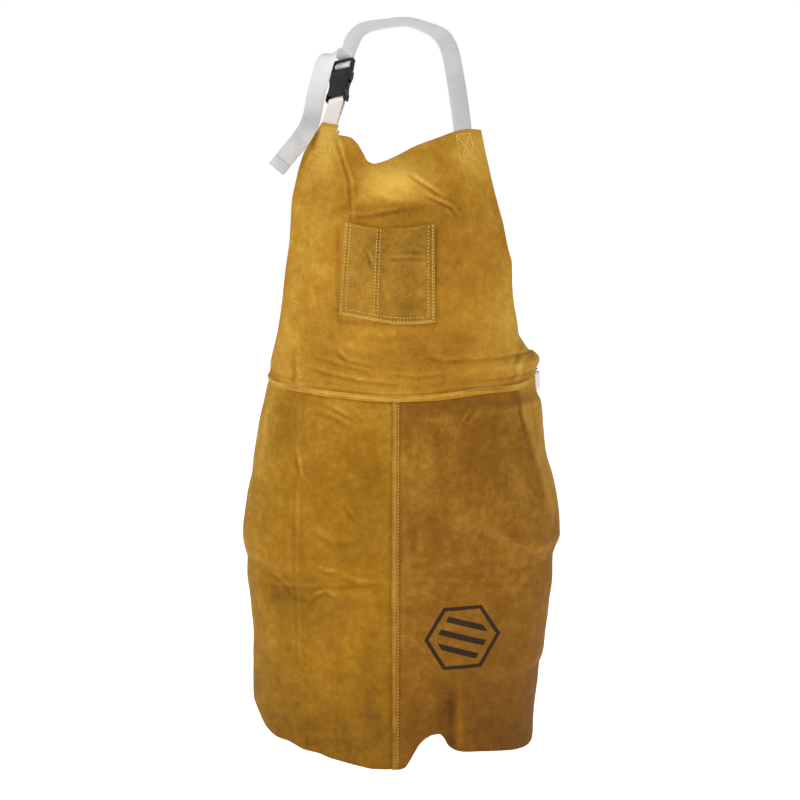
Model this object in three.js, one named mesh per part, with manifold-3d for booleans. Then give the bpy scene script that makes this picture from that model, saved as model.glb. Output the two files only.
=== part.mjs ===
// A leather welding apron, shaped as it hangs on a wearer: a bib sewn over two skirt panels, a chest
// pocket, an adjustable neck strap and a waist belt, each with a side-release buckle.
// Millimetres, +Z up, -Y is the wearer's front. The origin is the top of the neck strap, on the side
// that bears on the neck, so the apron hangs below it.
import * as THREE from 'three';
import { mergeVertices } from 'three/addons/utils/BufferGeometryUtils.js';
import Module from 'manifold-3d';

const wasm = await Module();
wasm.setup();

// Driving dimensions
const LEATHER = 1.8;
const POCKET_LEATHER = 1.5;
const LAYER_GAP = 0.8;
const LAYER = LEATHER + LAYER_GAP;
const THREAD = 0.6;
const THREAD_WIDTH = 1.0;
const THREAD_GAP = 0.6;
const WEB_WIDTH = 25;
const WEB = 1.3;
const WEB_GAP = 0.7;
const ANCHOR_GAP = 1.6;

const BIB_HEM_Z = -509;
const WAIST_ROW_Z = -502;
const SKIRT_TOP_Z = -495;
const SKIRT_HEM_Z = -1025;
const CENTRE_LAP_X = -3;
const CENTRE_LAP = 13;
const CENTRE_ROW_X = 5;

// How far each leather layer stands outside the wearer's form
const LEFT_SKIRT_LIFT = 0;
const RIGHT_SKIRT_LIFT = LAYER;
const BIB_LIFT = 2 * LAYER;

// The wearer's form: the front half of an ellipse at each height, standing a little off centre
const FORM = [
  { z: -120, centreX: 3, halfWidth: 146, front: -152, depth: 84 },
  { z: -190, centreX: -6, halfWidth: 158, front: -180, depth: 102 },
  { z: -245, centreX: -8, halfWidth: 170, front: -197, depth: 120 },
  { z: -315, centreX: -4, halfWidth: 180, front: -206, depth: 136 },
  { z: -425, centreX: -6, halfWidth: 186, front: -203, depth: 147 },
  { z: -505, centreX: -1, halfWidth: 189, front: -198, depth: 150 },
  { z: -600, centreX: -6, halfWidth: 208, front: -205, depth: 152 },
  { z: -720, centreX: -5, halfWidth: 228, front: -210, depth: 155 },
  { z: -830, centreX: -8, halfWidth: 216, front: -211, depth: 157 },
  { z: -970, centreX: -14, halfWidth: 204, front: -211, depth: 156 },
  { z: -1040, centreX: -12, halfWidth: 194, front: -210, depth: 154 },
];

// How far the bib reaches to each side: narrow at the chest, with an ear at the waist
const BIB_REACH = [
  { z: -120, reach: 100 },
  { z: -160, reach: 111 },
  { z: -245, reach: 133 },
  { z: -315, reach: 148 },
  { z: -415, reach: 161 },
  { z: -440, reach: 169 },
  { z: -468, reach: 186 },
  { z: -509, reach: 189 },
];

// The bib's top edge from its left corner to its right one, sagging between the straps
const BIB_TOP = [
  { side: -1.0, z: -141 },
  { side: -0.8, z: -144 },
  { side: -0.66, z: -153 },
  { side: -0.5, z: -166 },
  { side: -0.4, z: -184 },
  { side: -0.3, z: -192 },
  { side: 0.03, z: -183 },
  { side: 0.5, z: -161 },
  { side: 0.72, z: -152 },
  { side: 1.0, z: -150 },
];

const POCKET = {
  left: { top: -65, bottom: -73 },
  right: { top: 53, bottom: 54 },
  top: -270,
  bottom: -396,
  divider: 0.365,
  penBulge: 10,
  mainBulge: 12,
};

const LEATHER_TAN = { color: 0xb8842e, roughness: 0.95, metalness: 0 };
const LEATHER_BROWN = { color: 0x9a6a26, roughness: 0.95, metalness: 0 };
const THREAD_YELLOW = { color: 0xd9be6a, roughness: 0.8, metalness: 0 };
const WEB_WHITE = { color: 0xd8d8d8, roughness: 0.9, metalness: 0 };
const BUCKLE_BLACK = { color: 0x2a2c2e, roughness: 0.45, metalness: 0 };

const apron = new THREE.Group();

function addMesh(parent, name, geometry, look) {
  const mesh = new THREE.Mesh(geometry, new THREE.MeshStandardMaterial(look));
  mesh.name = name;
  parent.add(mesh);
  return mesh;
}

// ---------------------------------------------------------------------------------------------
// Shared geometry

// A smooth value between stations, where each station gives the value at one place along them.
function smoothValue(stations, along, place, value) {
  const last = stations.length - 1;
  const rising = stations[last][along] > stations[0][along];
  const before = (station) => (rising ? station[along] <= place : station[along] >= place);
  let index = 0;
  while (index < last - 1 && before(stations[index + 1])) index += 1;
  const [a, b] = [stations[index], stations[index + 1]];
  const slope = (from, to) => (to[value] - from[value]) / (to[along] - from[along]);
  const slopeA = slope(stations[Math.max(index - 1, 0)], b);
  const slopeB = slope(a, stations[Math.min(index + 2, last)]);
  const span = b[along] - a[along];
  const t = THREE.MathUtils.clamp((place - a[along]) / span, 0, 1);
  return (
    a[value] * (2 * t ** 3 - 3 * t ** 2 + 1) +
    span * slopeA * (t ** 3 - 2 * t ** 2 + t) +
    b[value] * (3 * t ** 2 - 2 * t ** 3) +
    span * slopeB * (t ** 3 - t ** 2)
  );
}

// A point on the form, or lifted outside it, at an angle from straight ahead.
function formPoint(angle, z, lift) {
  const halfWidth = smoothValue(FORM, 'z', z, 'halfWidth') + lift;
  const depth = smoothValue(FORM, 'z', z, 'depth');
  const centreX = smoothValue(FORM, 'z', z, 'centreX');
  const centreY = smoothValue(FORM, 'z', z, 'front') + depth;
  const [sine, cosine] = [Math.sin(angle), Math.cos(angle)];
  return new THREE.Vector3(centreX + halfWidth * sine, centreY - (depth + lift) * cosine, z);
}

function angleAtX(x, z, lift) {
  const sine = (x - smoothValue(FORM, 'z', z, 'centreX')) / (smoothValue(FORM, 'z', z, 'halfWidth') + lift);
  return Math.asin(THREE.MathUtils.clamp(sine, -1, 1));
}

function formPointAtX(x, z, lift) {
  return formPoint(angleAtX(x, z, lift), z, lift);
}

function signedVolume(positions, triangles) {
  const corner = (index) => new THREE.Vector3().fromArray(positions, 3 * triangles[index]);
  let volume = 0;
  for (let index = 0; index < triangles.length; index += 3) {
    volume += corner(index).dot(corner(index + 1).cross(corner(index + 2))) / 6;
  }
  return volume;
}

// A closed plate between two faces, each given as a point for u and v from 0 to 1.
function plate(outerAt, innerAt, columns, rows) {
  const positions = [];
  for (const faceAt of [outerAt, innerAt]) {
    for (let row = 0; row <= rows; row += 1) {
      for (let column = 0; column <= columns; column += 1) {
        positions.push(...faceAt(column / columns, row / rows).toArray());
      }
    }
  }
  const at = (face, column, row) => (face * (rows + 1) + row) * (columns + 1) + column;
  const triangles = [];
  const quad = (a, b, c, d) => triangles.push(a, b, c, a, c, d);
  for (let row = 0; row < rows; row += 1) {
    for (let column = 0; column < columns; column += 1) {
      for (const [face, step] of [[0, 0], [1, 1]]) {
        const [near, far] = step ? [column + 1, column] : [column, column + 1];
        quad(at(face, near, row), at(face, near, row + 1), at(face, far, row + 1), at(face, far, row));
      }
    }
    quad(at(0, 0, row), at(1, 0, row), at(1, 0, row + 1), at(0, 0, row + 1));
    quad(at(0, columns, row), at(0, columns, row + 1), at(1, columns, row + 1), at(1, columns, row));
  }
  for (let column = 0; column < columns; column += 1) {
    quad(at(0, column, 0), at(0, column + 1, 0), at(1, column + 1, 0), at(1, column, 0));
    quad(at(0, column, rows), at(1, column, rows), at(1, column + 1, rows), at(0, column + 1, rows));
  }
  if (signedVolume(positions, triangles) < 0) triangles.reverse();
  const geometry = new THREE.BufferGeometry();
  geometry.setAttribute('position', new THREE.Float32BufferAttribute(positions, 3));
  geometry.setIndex(triangles);
  return geometry;
}

// A flat strap along stations: each has a place on its centre line and the direction across it.
function strap(stations, rows, width = WEB_WIDTH, thickness = WEB) {
  const centres = new THREE.CatmullRomCurve3(stations.map(({ at }) => at), false, 'centripetal');
  const acrosses = new THREE.CatmullRomCurve3(stations.map(({ across }) => across), false, 'centripetal');
  const face = (side) => (u, v) => {
    const centre = centres.getPoint(v);
    const tangent = centres.getTangent(v);
    const across = acrosses.getPoint(v);
    across.addScaledVector(tangent, -across.dot(tangent)).normalize();
    const normal = tangent.clone().cross(across).normalize();
    centre.addScaledVector(across, (u - 0.5) * width);
    return centre.addScaledVector(normal, (side * thickness) / 2);
  };
  return plate(face(1), face(-1), 2, rows);
}

function toSolid(geometry) {
  const plain = geometry.clone();
  plain.deleteAttribute('normal');
  plain.deleteAttribute('uv');
  const merged = mergeVertices(plain, 1e-4);
  const mesh = new wasm.Mesh({
    numProp: 3,
    vertProperties: merged.attributes.position.array,
    triVerts: new Uint32Array(merged.index.array),
  });
  return new wasm.Manifold(mesh);
}

function toGeometry(solid) {
  const mesh = solid.getMesh();
  const geometry = new THREE.BufferGeometry();
  geometry.setAttribute('position', new THREE.BufferAttribute(mesh.vertProperties, 3));
  geometry.setIndex(new THREE.BufferAttribute(mesh.triVerts, 1));
  return geometry;
}

function block(lowX, highX, lowY, highY, lowZ, highZ) {
  const geometry = new THREE.BoxGeometry(highX - lowX, highY - lowY, highZ - lowZ);
  return geometry.translate((lowX + highX) / 2, (lowY + highY) / 2, (lowZ + highZ) / 2);
}

// An outline drawn in X and Z, as thick as given along Y with its middle at Y = 0.
function extrudeAcrossY(outline, thickness, bevel) {
  const geometry = new THREE.ExtrudeGeometry(outline, {
    depth: thickness - 2 * bevel,
    bevelEnabled: bevel > 0,
    bevelSize: bevel,
    bevelThickness: bevel,
    bevelOffset: -bevel,
    bevelSegments: 2,
    curveSegments: 8,
  });
  return geometry.rotateX(Math.PI / 2).translate(0, thickness / 2 - bevel, 0);
}

// ---------------------------------------------------------------------------------------------
// Leather panels

function bibPoint(u, v, lift) {
  const side = 2 * u - 1;
  const z = THREE.MathUtils.lerp(smoothValue(BIB_TOP, 'side', side, 'z'), BIB_HEM_Z, v);
  const edgeSine = smoothValue(BIB_REACH, 'z', z, 'reach') / smoothValue(FORM, 'z', z, 'halfWidth');
  const edge = Math.asin(Math.min(edgeSine, 1));
  return formPoint(side * edge, z, lift);
}

function bibPanel() {
  const outerAt = (u, v) => bibPoint(u, v, BIB_LIFT + LEATHER);
  const innerAt = (u, v) => bibPoint(u, v, BIB_LIFT);
  return plate(outerAt, innerAt, 36, 20);
}

function skirtPanel(centreX, side, lift) {
  const pointAt = (u, v, height) => {
    const z = THREE.MathUtils.lerp(SKIRT_TOP_Z, SKIRT_HEM_Z, v);
    const start = angleAtX(centreX, z, height);
    return formPoint(THREE.MathUtils.lerp(start, (side * Math.PI) / 2, u), z, height);
  };
  const outerAt = (u, v) => pointAt(u, v, lift + LEATHER);
  const innerAt = (u, v) => pointAt(u, v, lift);
  return plate(outerAt, innerAt, 18, 18);
}

// The pocket stands off the bib in two bays and is drawn down to it along its rows of stitches.
function pocketBulge(u, v) {
  const inPen = u < POCKET.divider;
  const across = inPen ? u / POCKET.divider : (u - POCKET.divider) / (1 - POCKET.divider);
  const height = inPen ? POCKET.penBulge : POCKET.mainBulge;
  const closing = THREE.MathUtils.smoothstep(1 - v, 0, 0.3);
  return height * Math.sin(Math.PI * across) ** 1.2 * closing;
}

function pocketPoint(u, v, lift) {
  const left = THREE.MathUtils.lerp(POCKET.left.top, POCKET.left.bottom, v);
  const right = THREE.MathUtils.lerp(POCKET.right.top, POCKET.right.bottom, v);
  const z = THREE.MathUtils.lerp(POCKET.top, POCKET.bottom, v);
  const base = BIB_LIFT + LEATHER + LAYER_GAP;
  return formPointAtX(THREE.MathUtils.lerp(left, right, u), z, base + pocketBulge(u, v) + lift);
}

function pocketPanel() {
  const outerAt = (u, v) => pocketPoint(u, v, POCKET_LEATHER);
  const innerAt = (u, v) => pocketPoint(u, v, 0);
  return plate(outerAt, innerAt, 24, 12);
}

addMesh(apron, 'bib_panel', bibPanel(), LEATHER_TAN);
addMesh(apron, 'skirt_panel_left', skirtPanel(CENTRE_LAP_X + CENTRE_LAP, -1, LEFT_SKIRT_LIFT), LEATHER_TAN);
addMesh(apron, 'skirt_panel_right', skirtPanel(CENTRE_LAP_X, 1, RIGHT_SKIRT_LIFT), LEATHER_BROWN);
addMesh(apron, 'chest_pocket', pocketPanel(), LEATHER_TAN);

// ---------------------------------------------------------------------------------------------
// Rows of stitches, each a thin strip of thread lying on its panel

function threadRow(pointAt, rows) {
  const outerAt = (u, v) => pointAt(u - 0.5, v, THREAD_GAP + THREAD);
  const innerAt = (u, v) => pointAt(u - 0.5, v, THREAD_GAP);
  return plate(outerAt, innerAt, 1, rows);
}

function waistRow() {
  const reach = THREE.MathUtils.degToRad(87);
  return threadRow((across, v, lift) => {
    const angle = THREE.MathUtils.lerp(-reach, reach, v);
    return formPoint(angle, WAIST_ROW_Z + across * THREAD_WIDTH, BIB_LIFT + LEATHER + lift);
  }, 56);
}

function centreRow() {
  return threadRow((across, v, lift) => {
    const z = THREE.MathUtils.lerp(BIB_HEM_Z - 3, SKIRT_HEM_Z + 4, v);
    return formPointAtX(CENTRE_ROW_X + across * THREAD_WIDTH, z, RIGHT_SKIRT_LIFT + LEATHER + lift);
  }, 30);
}

// Down the left side, along the bottom and up the right side of the pocket, set in from its edge.
function pocketEdgeRow(inset) {
  const corners = [
    { u: inset, v: 0.02 },
    { u: inset, v: 1 - inset },
    { u: 1 - inset, v: 1 - inset },
    { u: 1 - inset, v: 0.02 },
  ];
  const half = 0.0045;
  const inward = [[1, 0], [1, -1], [-1, -1], [-1, 0]];
  return threadRow((across, along, lift) => {
    const place = along * 3;
    const leg = Math.min(Math.floor(place), 2);
    const t = place - leg;
    const shift = 2 * half * across;
    const u = (corner) => corners[corner].u + inward[corner][0] * shift;
    const v = (corner) => corners[corner].v + inward[corner][1] * shift;
    const uNow = THREE.MathUtils.lerp(u(leg), u(leg + 1), t);
    const vNow = THREE.MathUtils.lerp(v(leg), v(leg + 1), t);
    return pocketPoint(uNow, vNow, POCKET_LEATHER + lift);
  }, 36);
}

function pocketDividerRow(offset) {
  const half = THREAD_WIDTH / (POCKET.right.top - POCKET.left.top);
  return threadRow((across, v, lift) => {
    const u = POCKET.divider + offset + across * half;
    return pocketPoint(u, 0.02 + 0.9 * v, POCKET_LEATHER + lift);
  }, 14);
}

// A box with a cross in it, sewn through the bib and the webbing behind it.
function boxAndCross(centreX, centreZ, lean) {
  const [halfWidth, halfHeight] = [9, 17];
  const line = THREAD_WIDTH / 2;
  const outline = new THREE.Shape();
  outline.moveTo(-halfWidth - line, -halfHeight - line);
  outline.lineTo(halfWidth + line, -halfHeight - line);
  outline.lineTo(halfWidth + line, halfHeight + line);
  outline.lineTo(-halfWidth - line, halfHeight + line);
  outline.closePath();
  const [openX, openZ] = [halfWidth - line, halfHeight - line];
  const gap = 1.2;
  const triangles = [
    [[-openX + gap, openZ], [openX - gap, openZ], [0, gap * 1.6]],
    [[-openX + gap, -openZ], [0, -gap * 1.6], [openX - gap, -openZ]],
    [[-openX, openZ - 2 * gap], [-gap, 0], [-openX, -openZ + 2 * gap]],
    [[openX, openZ - 2 * gap], [openX, -openZ + 2 * gap], [gap, 0]],
  ];
  for (const corners of triangles) {
    const points = corners.map(([x, y]) => new THREE.Vector2(x, y));
    outline.holes.push(new THREE.Path(points));
  }
  const geometry = new THREE.ExtrudeGeometry(outline, { depth: THREAD, bevelEnabled: false });
  const places = geometry.attributes.position;
  for (let index = 0; index < places.count; index += 1) {
    const [x, z] = [places.getX(index), places.getY(index)];
    const lift = BIB_LIFT + LEATHER + THREAD_GAP + places.getZ(index);
    places.setXYZ(index, ...formPointAtX(centreX + x + lean * z, centreZ + z, lift).toArray());
  }
  return geometry;
}

// A short bar of dense stitches near the side edge of the bib, through the belt behind it.
function beltTack(side) {
  const angle = side * THREE.MathUtils.degToRad(84);
  return threadRow((across, v, lift) => {
    const z = THREE.MathUtils.lerp(-474, -497, v);
    return formPoint(angle + (across * 2.4) / 190, z, BIB_LIFT + LEATHER + lift);
  }, 6);
}

const twinRows = 0.045;
addMesh(apron, 'waist_seam_thread', waistRow(), THREAD_YELLOW);
addMesh(apron, 'centre_seam_thread', centreRow(), THREAD_YELLOW);
addMesh(apron, 'pocket_edge_thread_outer', pocketEdgeRow(0.025), THREAD_YELLOW);
addMesh(apron, 'pocket_edge_thread_inner', pocketEdgeRow(0.025 + twinRows), THREAD_YELLOW);
addMesh(apron, 'pocket_divider_thread_left', pocketDividerRow(-twinRows / 2), THREAD_YELLOW);
addMesh(apron, 'pocket_divider_thread_right', pocketDividerRow(twinRows / 2), THREAD_YELLOW);
addMesh(apron, 'neck_anchor_thread_left', boxAndCross(-96.5, -163, 0.2), THREAD_YELLOW);
addMesh(apron, 'neck_anchor_thread_right', boxAndCross(90, -172, -0.16), THREAD_YELLOW);
addMesh(apron, 'belt_anchor_thread_left', beltTack(-1), THREAD_YELLOW);
addMesh(apron, 'belt_anchor_thread_right', beltTack(1), THREAD_YELLOW);

// ---------------------------------------------------------------------------------------------
// Side-release buckles, in their own frame: Z from the socket's bar to the frame's end bar,
// -Y is the face away from the wearer.

const BUCKLE = {
  thickness: 11,
  mouthZ: 46,
  mouthHalf: 17,
  cavityHalf: 15.6,
  cavityThickness: 6.8,
  cavityFloor: 11,
  slotTop: 8.5,
  slotHalf: 13.6,
  barHalf: 1.6,
  barHeight: 3.2,
  endZ: 67.5,
  shoulderTop: 51.5,
  middleBarZ: 57.5,
  prongRootZ: 44,
};

function socketOutline() {
  const { mouthHalf, mouthZ } = BUCKLE;
  const baseHalf = 16;
  const outline = new THREE.Shape();
  outline.moveTo(-baseHalf + 1.5, 0);
  outline.lineTo(baseHalf - 1.5, 0);
  outline.lineTo(baseHalf, 1.5);
  outline.lineTo(baseHalf, 10);
  outline.bezierCurveTo(12.8, 17, 12.8, 28, mouthHalf, 36);
  outline.lineTo(mouthHalf, mouthZ);
  outline.lineTo(-mouthHalf, mouthZ);
  outline.lineTo(-mouthHalf, 36);
  outline.bezierCurveTo(-12.8, 28, -12.8, 17, -baseHalf, 10);
  outline.lineTo(-baseHalf, 1.5);
  outline.closePath();
  return outline;
}

function socketGeometry() {
  const { thickness, mouthZ, slotTop, slotHalf, barHalf, barHeight } = BUCKLE;
  const { cavityHalf, cavityThickness, cavityFloor } = BUCKLE;
  const half = cavityThickness / 2;
  const cavity = block(-cavityHalf, cavityHalf, -half, half, cavityFloor, mouthZ + 5);
  const slot = block(-slotHalf, slotHalf, -thickness, thickness, -1, slotTop);
  const bar = block(-slotHalf - 1, slotHalf + 1, -barHalf, barHalf, 0, barHeight);
  const shell = toSolid(extrudeAcrossY(socketOutline(), thickness, 0.8));
  return toGeometry(shell.subtract(toSolid(cavity)).subtract(toSolid(slot)).add(toSolid(bar)));
}

// The plug half without its prongs: a shoulder with a guide tongue below it and a ladder above it.
function frameGeometry() {
  const { mouthZ, mouthHalf, shoulderTop, endZ, middleBarZ, slotHalf, cavityThickness } = BUCKLE;
  const shoulder = new THREE.Shape();
  const low = mouthZ + 0.4;
  shoulder.moveTo(-mouthHalf, low);
  shoulder.lineTo(mouthHalf, low);
  shoulder.lineTo(mouthHalf, endZ - 2);
  shoulder.lineTo(mouthHalf - 2, endZ);
  shoulder.lineTo(-mouthHalf + 2, endZ);
  shoulder.lineTo(-mouthHalf, endZ - 2);
  shoulder.closePath();
  const tongueHalf = cavityThickness / 2 - 0.6;
  const window = block(-slotHalf, slotHalf, -9, 9, shoulderTop, endZ - 3.4);
  const middleBar = block(-slotHalf - 1, slotHalf + 1, -1.5, 1.5, middleBarZ - 1.6, middleBarZ + 1.6);
  const tongue = block(-3.5, 3.5, -tongueHalf, tongueHalf, 18, low + 1);
  const root = block(-13.5, 13.5, -tongueHalf, tongueHalf, BUCKLE.prongRootZ + 0.4, low + 1);
  const tailRelief = block(-slotHalf, slotHalf, -0.6, 9, endZ - 5, endZ + 1);
  const rail = toSolid(extrudeAcrossY(shoulder, 6.4, 0.7));
  const ladder = rail.subtract(toSolid(window)).subtract(toSolid(tailRelief)).add(toSolid(middleBar));
  return toGeometry(ladder.add(toSolid(tongue)).add(toSolid(root)));
}

// A springy arm with an oval thumb pad, drawn for the +X side and mirrored for the other.
function prongGeometry(side) {
  const { prongRootZ, cavityThickness } = BUCKLE;
  const outline = new THREE.Shape();
  outline.moveTo(8, prongRootZ);
  outline.lineTo(8, 33);
  outline.quadraticCurveTo(8.4, 22, 9.6, 14);
  outline.lineTo(12, 12.5);
  outline.quadraticCurveTo(15.2, 16, 15.3, 23);
  outline.quadraticCurveTo(15.2, 28, 13.4, 30.5);
  outline.lineTo(12, 31);
  outline.lineTo(12, prongRootZ);
  outline.closePath();
  const geometry = extrudeAcrossY(outline, cavityThickness - 1.2, 0.4);
  return side > 0 ? geometry : geometry.rotateZ(Math.PI);
}

// Places a buckle with its socket's bar at a point, its length along one direction and its outer
// face towards another.
function buckleGroup(socketBar, along, facing) {
  const up = along.clone().normalize();
  const back = facing.clone().negate();
  back.addScaledVector(up, -back.dot(up)).normalize();
  const right = back.clone().cross(up);
  const group = new THREE.Group();
  group.quaternion.setFromRotationMatrix(new THREE.Matrix4().makeBasis(right, back, up));
  group.position.copy(socketBar);
  group.updateMatrixWorld(true);
  apron.add(group);
  return group;
}

function addBuckle(group, prefix) {
  addMesh(group, `${prefix}_buckle_socket`, socketGeometry(), BUCKLE_BLACK);
  addMesh(group, `${prefix}_buckle_frame`, frameGeometry(), BUCKLE_BLACK);
  addMesh(group, `${prefix}_buckle_prong_left`, prongGeometry(-1), BUCKLE_BLACK);
  addMesh(group, `${prefix}_buckle_prong_right`, prongGeometry(1), BUCKLE_BLACK);
}

const vector = (x, y, z) => new THREE.Vector3(x, y, z);
const station = (at, across) => ({ at, across });

// A strap station given in a buckle's own frame, lying straight across the buckle.
function stationInBuckle(group, y, z, x = 0) {
  return station(group.localToWorld(vector(x, y, z)), vector(1, 0, 0).applyQuaternion(group.quaternion));
}

// A station behind the leather, where webbing is sewn to it.
function stationBehind(x, z, lift) {
  const at = formPointAtX(x, z, lift);
  const across = formPointAtX(x + 1, z, lift).sub(at).normalize();
  return station(at, across);
}

const NECK_BUCKLE = buckleGroup(
  vector(-87, -110, -112),
  vector(0.105, 0.527, 0.843),
  vector(-0.5, -0.8, 0.5),
);
const WAIST_BUCKLE = buckleGroup(vector(186, -21, -503), vector(-0.5, 0.866, 0), vector(0.866, 0.5, 0));
addBuckle(NECK_BUCKLE, 'neck');
addBuckle(WAIST_BUCKLE, 'waist');

// ---------------------------------------------------------------------------------------------
// Webbing

// Two plies from the sewn end to the socket, joined by a turn round the socket's bar.
function socketLoop(group, outerEnd, innerEnd) {
  const turn = BUCKLE.barHalf + WEB_GAP + WEB / 2;
  const around = [
    [-turn, -6],
    [-turn, 0],
    [-turn, BUCKLE.barHeight],
    [-0.7 * turn, BUCKLE.barHeight + 0.7 * turn],
    [0, BUCKLE.barHeight + turn],
    [0.7 * turn, BUCKLE.barHeight + 0.7 * turn],
    [turn, BUCKLE.barHeight],
    [turn, 0],
    [turn, -6],
  ];
  const stations = around.map(([y, z]) => stationInBuckle(group, y, z));
  return strap([...outerEnd, ...stations, ...innerEnd], 60);
}

// The strap's last stretch: down behind the ladder, round its middle bar, and up between the
// first ply and the end bar.
function ladderWrap(group, leadIn) {
  const { middleBarZ, endZ } = BUCKLE;
  const turn = 1.5 + WEB_GAP + WEB / 2;
  const path = [
    [4.6, endZ + 6],
    [4.6, endZ],
    [4.4, middleBarZ + 2],
    [3.0, middleBarZ - 2.4],
    [0, middleBarZ - 3.8],
    [-turn, middleBarZ - 1.4],
    [-turn, middleBarZ + 1.4],
    [-1.2, middleBarZ + 3.6],
    [0.8, endZ - 3.8],
    [1.3, endZ - 1.5],
    [1.3, endZ + 0.5],
  ];
  return strap([...leadIn, ...path.map(([y, z]) => stationInBuckle(group, y, z))], 54);
}

const NECK_LIFT = BIB_LIFT - ANCHOR_GAP - WEB / 2;
const ply = WEB + WEB_GAP;

function neckStrap() {
  const innerFace = WEB / 2;
  return strap(
    [
      stationBehind(94, -193, NECK_LIFT),
      stationBehind(88, -160, NECK_LIFT),
      station(vector(85, -143, -141), vector(0.95, 0.28, 0)),
      station(vector(79, -117, -108), vector(0.95, 0.28, 0.1)),
      station(vector(72, -84, -74), vector(0.94, 0.3, 0.15)),
      station(vector(63, -50, -39), vector(0.9, 0.3, 0.3)),
      station(vector(49, -22, -18), vector(0.66, 0.5, 0.55)),
      station(vector(26, -6, -6), vector(0.25, 0.77, 0.58)),
      station(vector(0, -0.6 * innerFace, 0.8 * innerFace), vector(0, 0.8, 0.6)),
      station(vector(-30, -3, -3), vector(-0.15, 0.78, 0.6)),
      station(vector(-53, -12, -10), vector(-0.5, 0.6, 0.58)),
      station(vector(-66, -24, -19), vector(-0.82, 0.45, 0.3)),
    ],
    72,
  );
}

// The stretch that follows the plug carries on from where the fixed stretch of the strap stops.
const neckLeadIn = [
  station(vector(-66.6, -24.8, -19.8), vector(-0.83, 0.44, 0.28)),
  station(vector(-72, -37, -28), vector(-0.9, 0.38, 0.1)),
];

function flipped(group, stations) {
  const across = vector(-1, 0, 0).applyQuaternion(group.quaternion);
  return stations.map(({ at }) => station(at, across.clone()));
}

// The free tail of the neck strap, hanging from the ladder past the bib's left corner.
const NECK_TAIL = [
  stationInBuckle(NECK_BUCKLE, 1.3, BUCKLE.endZ + 1.2),
  stationInBuckle(NECK_BUCKLE, 0.6, BUCKLE.endZ + 5),
  station(vector(-85, -80, -43), vector(0.85, -0.3, 0.42)),
  station(vector(-94, -88, -44), vector(0.85, -0.2, 0.5)),
  station(vector(-104, -94, -58), vector(0.95, -0.1, 0)),
  station(vector(-110, -101, -80), vector(0.97, 0, -0.2)),
  station(vector(-115, -113, -103), vector(0.97, 0, -0.2)),
  station(vector(-117, -131, -127), vector(0.97, 0, -0.2)),
  station(vector(-121, -151, -146), vector(0.94, 0, -0.33)),
  station(vector(-133, -161, -166), vector(0.83, 0.05, -0.56)),
  station(vector(-148, -165, -184), vector(0.8, 0.05, -0.6)),
  station(vector(-162, -167, -201), vector(0.8, 0.05, -0.6)),
];

// The free tail of the belt, lying outside it and drooping towards its end.
function beltPoint(turn, outward, z) {
  return vector((191 + outward) * Math.cos(turn), -50 + (122 + outward) * Math.sin(turn), z);
}

const upright = vector(0, 0, -1);
const BELT_Z = -503;
const BELT_TAIL = [
  stationInBuckle(WAIST_BUCKLE, 0.6, BUCKLE.endZ + 3),
  stationInBuckle(WAIST_BUCKLE, -3.5, BUCKLE.endZ + 10),
  station(vector(128, 64, BELT_Z - 4), vector(0, 0.08, -1)),
  station(vector(100, 80, BELT_Z - 10), vector(-0.05, 0.12, -1)),
  station(vector(70, 90, BELT_Z - 19), vector(-0.12, 0.14, -1)),
  station(vector(44, 93, BELT_Z - 30), vector(-0.2, 0.14, -1)),
  station(vector(13, 90, BELT_Z - 44), vector(-0.28, 0.14, -1)),
];

function waistBelt() {
  const behindSkirt = LEFT_SKIRT_LIFT - ANCHOR_GAP - WEB / 2;
  const stations = [-74, -82, -89].map((degrees) =>
    station(formPoint(THREE.MathUtils.degToRad(degrees), BELT_Z, behindSkirt), upright.clone()),
  );
  for (const degrees of [172, 155, 138, 121, 104, 87, 70]) {
    stations.push(station(beltPoint(THREE.MathUtils.degToRad(degrees), 0, BELT_Z), upright.clone()));
  }
  stations.push(station(vector(88, 61.5, BELT_Z), upright.clone()));
  return strap(stations, 56);
}

const beltLeadIn = [
  station(vector(88.7, 61.2, BELT_Z), upright.clone()),
  station(vector(112, 51.5, BELT_Z), upright.clone()),
  station(vector(130, 42, BELT_Z), upright.clone()),
];

// A stitched hem where the end of a free tail is folded back on itself.
function tailHemThread(tail) {
  const { at, across } = tail[tail.length - 1];
  const tangent = at.clone().sub(tail[tail.length - 2].at).normalize();
  const side = across.clone().addScaledVector(tangent, -across.dot(tangent)).normalize();
  const normal = tangent.clone().cross(side).normalize();
  const centre = at.clone().addScaledVector(tangent, -8).addScaledVector(normal, WEB / 2 + THREAD_GAP);
  const face = (height) => (u, v) =>
    centre
      .clone()
      .addScaledVector(side, (v - 0.5) * (WEB_WIDTH - 4))
      .addScaledVector(tangent, (u - 0.5) * THREAD_WIDTH)
      .addScaledVector(normal, height);
  return plate(face(THREAD), face(0), 1, 4);
}

const neckSocketOuter = [
  stationBehind(-101, -182, NECK_LIFT),
  stationBehind(-96, -150, NECK_LIFT),
];
const neckSocketInner = [
  stationBehind(-96, -150, NECK_LIFT - ply),
  stationBehind(-101, -182, NECK_LIFT - ply),
];
const beltAnchorLift = LEFT_SKIRT_LIFT - ANCHOR_GAP - WEB / 2;
const waistAnchor = (lift) =>
  [74, 82, 88].map((degrees) => {
    const angle = THREE.MathUtils.degToRad(degrees);
    return station(formPoint(angle, BELT_Z, lift), upright.clone());
  });

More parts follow.
